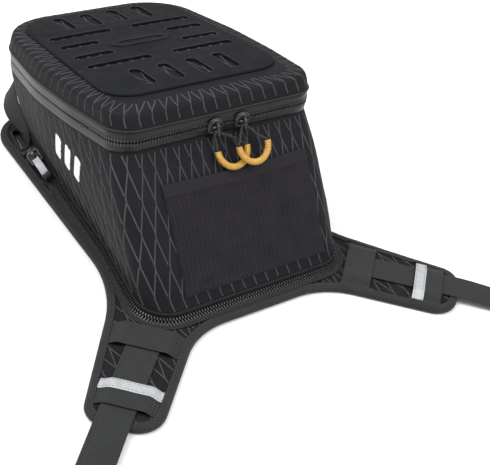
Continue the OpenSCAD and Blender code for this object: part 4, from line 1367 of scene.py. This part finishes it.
def pocket():
    """Flat pocket of ribbed stretch cloth that stands off the wall towards its mouth."""
    rear = columns_where(lambda p: (np.abs(p[:, 0]) < 84) & (p[:, 1] < -40))
    x, up = np.linspace(*POCKET_X, 66), np.linspace(POCKET_LOW, POCKET_HIGH, 44)
    gx, gu = np.meshgrid(x, up)
    fx, fu = (gx - x[0]) / (x[-1] - x[0]), (gu - up[0]) / (up[-1] - up[0])
    belly = np.sin(PI * np.clip(fx, 0, 1)) ** 0.55
    lift = 0.85 + belly * (0.5 + 1.5 * fu ** 1.6)
    fold, ripple = np.exp(-((fx - 0.06) / 0.05) ** 2), np.sin(fu * 9 + fx * 4) * np.sin(PI * fx) * fu
    lift = lift + 0.30 * fold + 0.18 * ripple
    sag = 1.6 * np.sin(PI * fx) ** 1.5 * fu ** 3
    pts, normals = WALL.project(0, gx, face_z(gu - sag), rear, lift)
    pinned = np.full(gx.shape, 0.15)
    pinned[0], pinned[:, 0], pinned[:, -1], pinned[-1] = 1, 1, 1, 0.6
    pts = settle(pts, 0.5, pinned, cap=1.2, closed=False)
    build = Build()
    slab(build, pts, normals, CLOTH_T, uv=(x, up))
    for part in (np.s_[:-4, 2], np.s_[:-4, -3], np.s_[2, 2:-2]):
        stitch_row(build, pts[part], normals[part], "pocket")
    cloth = build.piece("rear_pocket", [POCKET_CLOTH, BLACK_THREAD], "bag", "mesh", ["pocket_panel"])

    build = Build()
    part = slice(-1 - int(HEM_H / (up[1] - up[0])), None)
    pts, normals = pts[part], normals[part]
    roll = np.linspace(-1, 1, len(pts))[:, None, None]
    pts = pts + normals * 0.8 - normals * 0.55 * roll ** 6
    slab(build, pts, normals, 0.75, uv=(x, up[part]))
    stitch_row(build, pts[1] + normals[1] * 0.02, normals[1], "pocket")
    hem = build.piece("pocket_hem_band", [TAPE, BLACK_THREAD], "bag", "webbing", ["pocket_hem"])


BAR_LEAN, BAR_HALF_W, BAR_HALF_L, BAR_CORNER, BAR_PITCH = math.radians(18), 4.5, 13.0, 2.2, 17
BADGE_Y, BADGE_Z = 66, 66


def side_badge():
    """Three plain leaning bars printed in thick white ink."""
    left = columns_where(lambda p: (p[:, 0] < -80) & (p[:, 1] < 175) & (p[:, 1] > -60))
    along, across = np.linspace(-BAR_HALF_L, BAR_HALF_L, 29)[:, None], np.linspace(-1, 1, 13)
    over = np.clip((np.abs(along) - (BAR_HALF_L - BAR_CORNER)) / BAR_CORNER, 0, 1)
    width = BAR_HALF_W - BAR_CORNER + BAR_CORNER * np.sqrt(np.clip(1 - over ** 2, 0, 1))
    edge = np.minimum((1 - np.abs(across)) * width, BAR_HALF_L - np.abs(along))
    across = across * width
    build = Build()
    for k in range(3):
        y = BADGE_Y - BAR_PITCH * k + across * math.cos(BAR_LEAN) - along * math.sin(BAR_LEAN)
        z = BADGE_Z + across * math.sin(BAR_LEAN) + along * math.cos(BAR_LEAN)
        pts, normals = WALL.project(1, y, z, left, 0.28 + 0.32 * smooth(edge / 0.9))
        slab(build, pts[:, ::-1], normals[:, ::-1], 0.3)
    build.piece("side_badge_bars", [PRINT], "bag", "reflective", ["side_badge"])


HANDLE_HALF_W, HANDLE_REACH = 12.5, 83
HANDLE_LINE = [[-76, 174, 12.6], [-76.5, 174, 17], [-80, 178, 27], [-81, 187, 37], [-75, 198.5, 45],
               [-59, 208.5, 50], [-36, 215, 54], [0, 217, 56]]      # its left half


def front_handle():
    """Webbing round the front of the bag, tacked to an anchor at each end."""
    path = spline(HANDLE_LINE + [[-x, y, z] for x, y, z in reversed(HANDLE_LINE[:-1])], 6)
    x = path[:, 0]
    away = unit(np.column_stack([x, HANDLE_REACH * (1 - 1.4 * (x / HANDLE_REACH) ** 2), 0 * x]))
    ahead = tangents(path)
    across = unit(np.cross(ahead, away))
    face = unit(np.cross(across, ahead))
    build = Build()
    ribbon(build, path, across, face, HANDLE_HALF_W, 1.6, ribs=10, rib=0.09, cup=0.35, steps=40)
    for lane in (-0.8, 0.8):
        stitch_row(build, path + across * HANDLE_HALF_W * lane + face * 0.62, face, "handle")
    for end in (3, 4, 5, -6, -5, -4):
        lanes = np.linspace(-0.75, 0.75, 8)[:, None]
        row = path[end] + lanes * HANDLE_HALF_W * across[end] + face[end] * 0.86
        stitch_row(build, row, tiled(face[end], 8), "web")
    build.piece("front_carry_handle", [WEBBING, THREAD], "handle", "webbing", ["front_handle"])
    build = Build()
    rounded_box(build, (1.6, 25, 3.2), 0.6, (-73.6, 174, 8.0))
    row = np.array([[-74.5, 163 + 2.2 * k, 8.0] for k in range(11)])
    stitch_row(build, row, tiled((-1, 0, 0), 11), "tape")
    both(build, "handle_anchor", [WEBBING, THREAD], "bag", "webbing", "handle_anchors")


# ---------------------------------------------------------------- lid
BAND_COUNTS = counts_for(RIM_PLAN, 0.85)
SPLIT_H = BAND_H / 2


TOOTH_PITCH, COIL_PITCH, COIL_SIZE = 2.4, 2.9, (0.85, 1.0, 1.2)
# The lower tape's section: height over the rim, distance inwards, and how much the coil's ribs show
LOWER_BAND = [(0.1, 0.7, 0), (0.1, -0.1, 0), (0.9, -0.62, 0), (2.4, -0.82, 0), (4.0, -0.72, 0.1),
              (5.2, -0.62, 0.3), (6.2, -0.62, 0.5), (7.2, -0.5, 0.56), (8.1, -0.35, 0.45),
              (8.48, -0.02, 0.08), (8.5, 0.8, 0), (4, 0.8, 0)]


def coated_band(name, profile, teeth_low, teeth_high, body):
    """One half of the coated zip tape; the coil shows through it as fine ribs near the slit."""
    build = Build()
    rows = []
    for h, d, rib in profile:
        row = lid_ring(h, d, BAND_COUNTS)
        away = unit(np.roll(row, -1, 0) - np.roll(row, 1, 0))
        out = np.column_stack([away[:, 1], -away[:, 0], np.zeros(len(row))])
        strength = 0.25 + 0.95 * smooth((70 - row[:, 1]) / 60)
        teeth = (0.5 + 0.5 * np.cos(2 * PI * run_of(row[:, :2]) / TOOTH_PITCH)) ** 0.7
        rows.append(row + out * (rib * strength * teeth)[:, None])
    build.grid(np.array(rows), across=True, around=True)
    lows, highs = (lid_ring(h, -1.02, BAND_COUNTS) for h in (teeth_low, teeth_high))
    run = run_of(lows[:, :2])
    at = np.arange(TOOTH_PITCH, run[-1], TOOTH_PITCH)
    for low, high in zip(points_at(lows, run, at), points_at(highs, run, at)):
        if low[1] < 12:
            path = low + (high - low) * np.linspace(0, 1, 4)[:, None]
            ridge(build, path, tiled(unit(low - [0, 60, low[2]]), 4), 0.5, 0.34, mat=1)
    build.piece(f"zip_tape_{name}", [COATED, COIL], body, "coated_zip", [f"lid_zip_tape_{name}"])


def lid_zip():
    """Both halves of the coated tape, then the two rows of teeth in the slit between them."""
    upper_band = [(2 * SPLIT_H - h, d, rib) for h, d, rib in reversed(LOWER_BAND)]
    coated_band("lower", LOWER_BAND, 6.0, 8.2, "bag")
    coated_band("upper", upper_band, 9.2, 11.4, "lid")
    for name, h, shift, body in (("lower", SPLIT_H - 1.45, 0.5, "bag"), ("upper", SPLIT_H + 1.45, 0, "lid")):
        build = Build()
        line = closed_loop(lid_ring(h, 2.0, COUNTS))
        chain(build, line, COIL_PITCH, shift, 0, 0, COIL_SIZE, SMALL_BEAD)
        build.piece(f"lid_zip_coil_{name}_half", [COIL], body, "zip_coil", [f"lid_zip_coil_{name}"])


# The lid's section from its lower edge up, as height over the rim and distance inwards
LID_PROFILE = [(17.5, 1.0), (17.5, -0.9), (18.6, -1.15), (20.6, -1.2), (23.0, -1.2), (25.4, -1.1),
               (27.6, -0.95), (29.2, -0.65), (30.3, 0.1), (30.85, 1.3), (31.1, 3.0), (31.2, 5.5), (31.4, 8.5),
               (31.7, 11.5), (31.95, 14.5)]


def on_lid(p):
    """From the lid's own frame, x and y along it and z off it, to the bag's."""
    p = np.asarray(p, float)
    a = math.atan(RIM_FALL)
    return np.stack([p[..., 0], p[..., 1] * math.cos(a) + p[..., 2] * math.sin(a),
                     lid_z(0, LID_H) - p[..., 1] * math.sin(a) + p[..., 2] * math.cos(a)], -1)


def closing_rings(edge, h, steps):
    """Rings from an edge inwards to a line along the lid's middle, h over the rim."""
    y = np.clip(edge[:, 1], 60, 130)
    middle = np.column_stack([0 * y, y, lid_z(y, h)])
    return [edge * (1 - f) + middle * f for f in np.linspace(0, 0.96, steps + 1)[1:]]


def lid_shell():
    rows = np.array([lid_ring(h, d, COUNTS) for h, d in LID_PROFILE])
    fill = closing_rings(rows[-1], LID_H - 0.1, 8)
    build = Build()
    build.grid(np.concatenate([rows, fill]), across=True)
    build.cap(fill[-1])
    yarn_grid(build, Surface(rows[1:]), 1.8, 0.6)
    up = on_lid([0, 0, 1]) - on_lid([0, 0, 0])
    flat_yarns(build, 72, (8, 186), lambda xy: (np.abs(xy[:, 0]) < 70) & (xy[:, 1] > 12) & (xy[:, 1] < 188),
               lambda xy: (on_lid(at_height(xy, 0.02)), up))
    build.piece("lid_cloth", [LAMINATE, YARN], "lid", "laminate", ["lid_shell"])

    build = Build()
    tube(build, lid_ring(18.3, -1.25, COUNTS), 0.8, 8, closed=True)
    build.piece("lid_piping_bead", [BINDING], "lid", "webbing", ["lid_piping"])


def lid_inside():
    """Foam and lining of the lid: a shallow tray seen with the lid open."""
    for name, material, slot, node, d, top, thick in (
            ("lid_foam_tray", FOAM, "foam", "lid_foam", 1.3, 31.0, 2.6),
            ("lid_lining_cloth", LINING, "lining", "lid_lining", 4.4, 27.9, 0.6)):
        faces = []
        for t in (0, thick):
            profile = [(14.6, d + t), (18, d + t), (22, d + t), (top - 2.5 - t, d + t + 0.6),
                       (top - 0.8 - t, d + t + 2.2), (top - t, d + t + 5)]
            rows = [lid_ring(h, o, COUNTS) for h, o in profile]
            faces.append(rows + closing_rings(rows[-1], top - t, 5))
        build = Build()
        build.grid(np.array(faces[0][::-1] + faces[1]), across=True, flip=True)
        build.cap(faces[0][-1])
        build.cap(faces[1][-1], flip=True)
        build.piece(name, [material], "lid", slot, [node])


SLOT_W, SLOT_LEN, CROSS_W, CROSS_END = 10.0, 33.0, 8.4, 66.0
SLOT_XS, SLOT_YS = (-37.5, -12.5, 12.5, 37.5), (15.0, 154.0)
CROSS_ROWS = ((67, 10), (90, 32), (116, 32), (138, 10))     # each row's y and its inner ends
EMBLEM_Y = 103


def slot_shape(x, y, w, length, cut):
    """A slot with cut corners, clockwise, its corners slightly rounded."""
    x1, y1 = x + w, y + length
    p = np.array([[x + cut, y], [x, y + cut], [x, y + length - cut], [x + cut, y1], [x + w - cut, y1],
                  [x1, y + length - cut], [x1, y + cut], [x + w - cut, y]])
    soft = []
    for k in range(len(p)):
        a, b, c = p[k - 1], p[k], p[(k + 1) % len(p)]
        near = min(0.45, 0.3 * np.linalg.norm(b - a), 0.3 * np.linalg.norm(c - b))
        before, after = b + unit(a - b) * near, b + unit(c - b) * near
        soft += [before, (before + after + 2 * b) / 4, after]
    return resample(closed_loop(soft), max(24, int((w + length) * 2 / 1.4)))


def lozenge(tip, flat, half_h):
    """The emblem's outline, counterclockwise; a half_h below 0 makes it clockwise."""
    corners = [[-tip, 0], [-flat, -half_h], [flat, -half_h], [tip, 0], [flat, half_h], [-flat, half_h]]
    return resample(closed_loop(np.array(corners, float) + [0, EMBLEM_Y]), 72)


def lips(build, loops, inwards, height, radius):
    """A thin lip along each outline, in a lighter rubber that paints a highlight along the edge; height gives
    it for each point.
    """
    for loop in loops:
        lip = loop + loop_normals(loop) * inwards
        tube(build, on_lid(at_height(lip, height(lip))), radius, 6, closed=True, mat=1)


def top_panel():
    """The moulded panel with its slots, and the raised lozenge on it."""
    outline = resample(closed_loop(ring_xy(PANEL_PLAN, 0, counts_for(PANEL_PLAN, 2.5))), 280)
    loops = [outline]
    for x in SLOT_XS:
        loops += [slot_shape(x - SLOT_W / 2, y, SLOT_W, SLOT_LEN, 3.0) for y in SLOT_YS]
    for y, near in CROSS_ROWS:
        loops += [slot_shape(x, y - CROSS_W / 2, CROSS_END - near, CROSS_W, 2.5) for x in (near, -CROSS_END)]

    def crown(p):
        return 0.5 * smooth(distance_to(p, outline) / 40) - 0.15
    build = Build()
    moulding(build, loops, 0.05, PANEL_T, [1.2] + [0.4] * (len(loops) - 1), on_lid, 5.0, crown)
    lips(build, loops[1:], 0.3, lambda p: PANEL_T + crown(p) - 0.12, 0.34)
    build.piece("lid_top_panel", [RUBBER, RUBBER_PAINTED_HIGHLIGHT], "lid", "panel_rubber", ["top_panel"], sharp=50)
    loops = [lozenge(28, 20, 7), lozenge(22, 17, -4)]
    build = Build()
    moulding(build, loops, PANEL_T + 0.25, PANEL_T + 1.2, [0.45, 0.45], on_lid, 2.0)
    lips(build, loops, 0.35, lambda p: PANEL_T + 1.1, 0.26)
    build.piece("lid_lozenge", [RUBBER, RUBBER_PAINTED_HIGHLIGHT], "lid", "panel_rubber", ["top_emblem"], sharp=50)


def lid_hinge():
    """The uncut cloth across the front of the zip, inside the coated tape."""
    line = lid_ring(5, 1.2, COUNTS)
    front = np.flatnonzero((line[:, 1] > 195) & (np.abs(line[:, 0]) < 62))
    front = front[np.argsort(line[front, 0])]
    rows = np.array([lid_ring(h, 1.15 + 0.25 * math.sin(PI * h / BAND_H), COUNTS)[front]
                     for h in np.linspace(1.2, 16.2, 13)])
    out = unit(np.cross(np.gradient(rows, axis=1), np.gradient(rows, axis=0)))
    out *= np.sign(out[..., 1:2])
    build = Build()
    slab(build, rows[:, ::-1], out[:, ::-1], CLOTH_T)
    hinge = build.piece("lid_front_hinge_cloth", [LAMINATE], None, "laminate")
    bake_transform(hinge)


# ---------------------------------------------------------------- lid sliders and pulls
EYE_Y, EYE_Z = RIM_REAR - 6.6, RIM_Z + SPLIT_H - 3.5
GRIP_R, CORD_R, GRIP_HALF, GRIP_DROP, GRIP_TOP = 2.6, 1.0, 13.0, 14.0, 108.5


def face_point(x, up, n):
    """A point up the rear face and n away from it."""
    dy, dz = (RIM_REAR - BASE_REAR) / FACE_LEN, (RIM_Z - BASE_Z) / FACE_LEN
    return np.array([x, BASE_REAR + up * dy - n * dz, BASE_Z + up * dz + n * dy])


SLIDER_HALF, SLIDER_WIDER, SLIDER_TALLER = 5.5, 1.2, 1.12
# The eye's line, as x, y and distance off the face
EYE_LINE = [[0, 2.4, 2.0], [0, 2.2, 4.6], [0, 0.6, 6.2], [0, -3.0, 7.2], [0, -5.2, 7.0], [0, -6.3, 5.2],
            [0, -5.4, 3.2], [0, -4.2, 2.2]]


def lid_slider(side, x):
    """A cast slider: arched plate, horseshoe rim, two rounded bars and the eye for the cord."""
    def stand(p):
        p = np.asarray(p, float)
        return np.stack([x + SLIDER_WIDER * p[..., 0], RIM_REAR - 1.0 - p[..., 2],
                         RIM_Z + SPLIT_H + SLIDER_TALLER * p[..., 1]], -1)
    build = Build()
    a = np.linspace(0, PI, 13)
    arch = np.column_stack([SLIDER_HALF * np.cos(a), 1.2 + 4.8 * np.sin(a)])
    foot = np.array([[-SLIDER_HALF, -3.2], [1.0 - SLIDER_HALF, -5.6], [-1.6, -6.0], [0, -4.8]])
    outline = np.vstack([arch, foot, foot[-2::-1] * [-1, 1]])
    moulding(build, [resample(closed_loop(outline), 60)], 0, 2.2, [0.8], stand, 2.0)
    rim = np.column_stack([4.3 * np.cos(a), 1.0 + 3.9 * np.sin(a), np.full(len(a), 2.5)])
    rim = np.vstack([[4.4, -2.0, 2.2], rim, [-4.4, -2.0, 2.2]])
    tube(build, stand(spline(rim, 2)), 0.75, 8)
    along = np.linspace(-1, 1, 9)
    for y, half, r, out in ((0.2, 3.3, 1.15, 3.6), (-4.0, 4.0, 0.95, 2.6)):
        line = np.column_stack([np.linspace(-half, half, 9), np.full(9, y), np.full(9, out)])
        tube(build, stand(line), r * np.sqrt(np.clip(1 - along ** 6, 0.15, 1)), 10)
    tube(build, stand(spline(EYE_LINE, 4)), 0.85, 8)
    build.piece(f"{side}_lid_zip_slider", [SLIDER], f"{side}_slider", "slider_metal", [f"{side}_lid_slider"])


def pull(side, slider_x, x, n, bow):
    """A cord through the slider's eye, both its ends in a ribbed U-shaped tube that lies n off the face."""
    start = GRIP_TOP + 0.5
    ends = [face_point(x + way * GRIP_HALF, start, n) for way in (-1, 1)]
    points = [ends[0], [(slider_x + x - GRIP_HALF) / 2 - 1, EYE_Y - bow, EYE_Z - 6],
              [slider_x - 2.6, EYE_Y - 0.4, EYE_Z - 1], [slider_x, EYE_Y, EYE_Z],
              [slider_x + 2.6, EYE_Y - 0.4, EYE_Z - 1],
              [(slider_x + x + GRIP_HALF) / 2 + 1, EYE_Y - bow, EYE_Z - 6], ends[1]]
    path = spline(points, 8)
    build = Build()
    tube(build, path, CORD_R, 10)
    cord = build.piece(f"{side}_pull_braid", [BRAID], f"{side}_pull", "cord", [f"{side}_pull_cord"])
    curve = np.array([face_point(x - GRIP_HALF * math.cos(a), GRIP_TOP - GRIP_DROP * math.sin(a), n)
                      for a in np.linspace(0, PI, 145)])
    run = run_of(curve)
    from_end = np.minimum(run, run[-1] - run)
    ribbed = GRIP_R - 0.2 + 0.2 * np.cos(2 * PI * run / 1.45)
    radius = np.where(from_end < 0.5, GRIP_R - 0.3 + 0.3 * smooth(from_end / 0.5), ribbed)
    build = Build()
    tube(build, curve, radius, 16)
    grip = build.piece(f"{side}_pull_tube", [GOLD], f"{side}_pull", "gold_tube", [f"{side}_pull_grip"])
    path_length(path) * MM


harness_pad()
pad_binding()
keepers()
straps()
front_flap()
base_zip()
base_slider()
bag_inside()
pocket()
side_badge()
front_handle()
lid_zip()
lid_shell()
lid_inside()
top_panel()
lid_hinge()
for SIDE, SLIDER_X, GRIP_X, GRIP_N, BOW in (("left", -7.0, 3.0, 7.4, 2.0), ("right", 17.0, 18.5, 13.2, 5.6)):
    lid_slider(SIDE, SLIDER_X)
    pull(SIDE, SLIDER_X, GRIP_X, GRIP_N, BOW)

# ---------------------------------------------------------------- camera, light and floor
def camera():
    """At the photograph's viewing angle."""
    az, el, roll = math.radians(-38.49), math.radians(37.62), math.radians(8.8)
    back = Vector((math.sin(az) * math.cos(el), -math.cos(az) * math.cos(el), math.sin(el)))
    right = (-back).cross(Vector((0, 0, 1))).normalized()
    up = right.cross(-back)
    right2 = math.cos(roll) * right + math.sin(roll) * up
    up2 = -math.sin(roll) * right + math.cos(roll) * up
    data = bpy.data.cameras.new("camera")
    data.lens, data.sensor_width, data.sensor_fit = 72.85, 36, "HORIZONTAL"
    data.clip_start, data.clip_end = 0.01, 20
    cam = bpy.data.objects.new("camera", data)
    turn = Matrix((right2, up2, back)).transposed().to_4x4()
    cam.matrix_world = Matrix.Translation((-0.3742, -0.5449, 0.5139)) @ turn
    bpy.context.scene.collection.objects.link(cam)
    bpy.context.scene.camera = cam


def lamp(name, where, target, size, watts, colour=(1, 1, 1)):
    data = bpy.data.lights.new(name, "AREA")
    data.shape, data.size, data.energy, data.color = "DISK", size, watts, colour
    obj = bpy.data.objects.new(name, data)
    obj.location = where
    obj.rotation_mode = "QUATERNION"
    obj.rotation_quaternion = (Vector(target) - Vector(where)).to_track_quat("-Z", "Y")
    bpy.context.scene.collection.objects.link(obj)


def sun(strength, spread):
    """Soft light from straight above, even over the whole floor."""
    data = bpy.data.lights.new("overhead", "SUN")
    data.energy, data.angle = strength, math.radians(spread)
    bpy.context.scene.collection.objects.link(bpy.data.objects.new("overhead", data))


def studio():
    """A bright room, soft light from above, two lamps and a white paper floor."""
    world = bpy.data.worlds.new("studio")
    world.use_nodes = True
    ground = world.node_tree.nodes["Background"]
    ground.inputs["Color"].default_value = (1, 1, 1, 1)
    ground.inputs["Strength"].default_value = 0.62
    bpy.context.scene.world = world
    bpy.context.scene.view_settings.view_transform = "Standard"
    sun(1.1, 60)
    lamp("key", (-0.9, 0.5, 1.7), (0, 0.05, 0.06), 1.1, 26)
    lamp("fill", (0.5, -1.2, 1.5), (0, 0, 0.05), 1.2, 17)
    mesh = bpy.data.meshes.new("floor")
    half, z = 40.0, -0.0005
    corners = [(-half, -half, z), (half, -half, z), (half, half, z), (-half, half, z)]
    mesh.from_pydata(corners, [], [(0, 1, 2, 3)])
    paper = Shade("floor_paper", 0.9, specular=0.1)
    greys = [(0.3, (0.86, 0.86, 0.86)), (0.7, (0.88, 0.88, 0.88))]
    mesh.materials.append(paper.finish(paper.colours(paper.noise(paper.coords(False), 90, 2), greys)))
    floor = bpy.data.objects.new("floor", mesh)
    bpy.context.scene.collection.objects.link(floor)


camera()
studio()
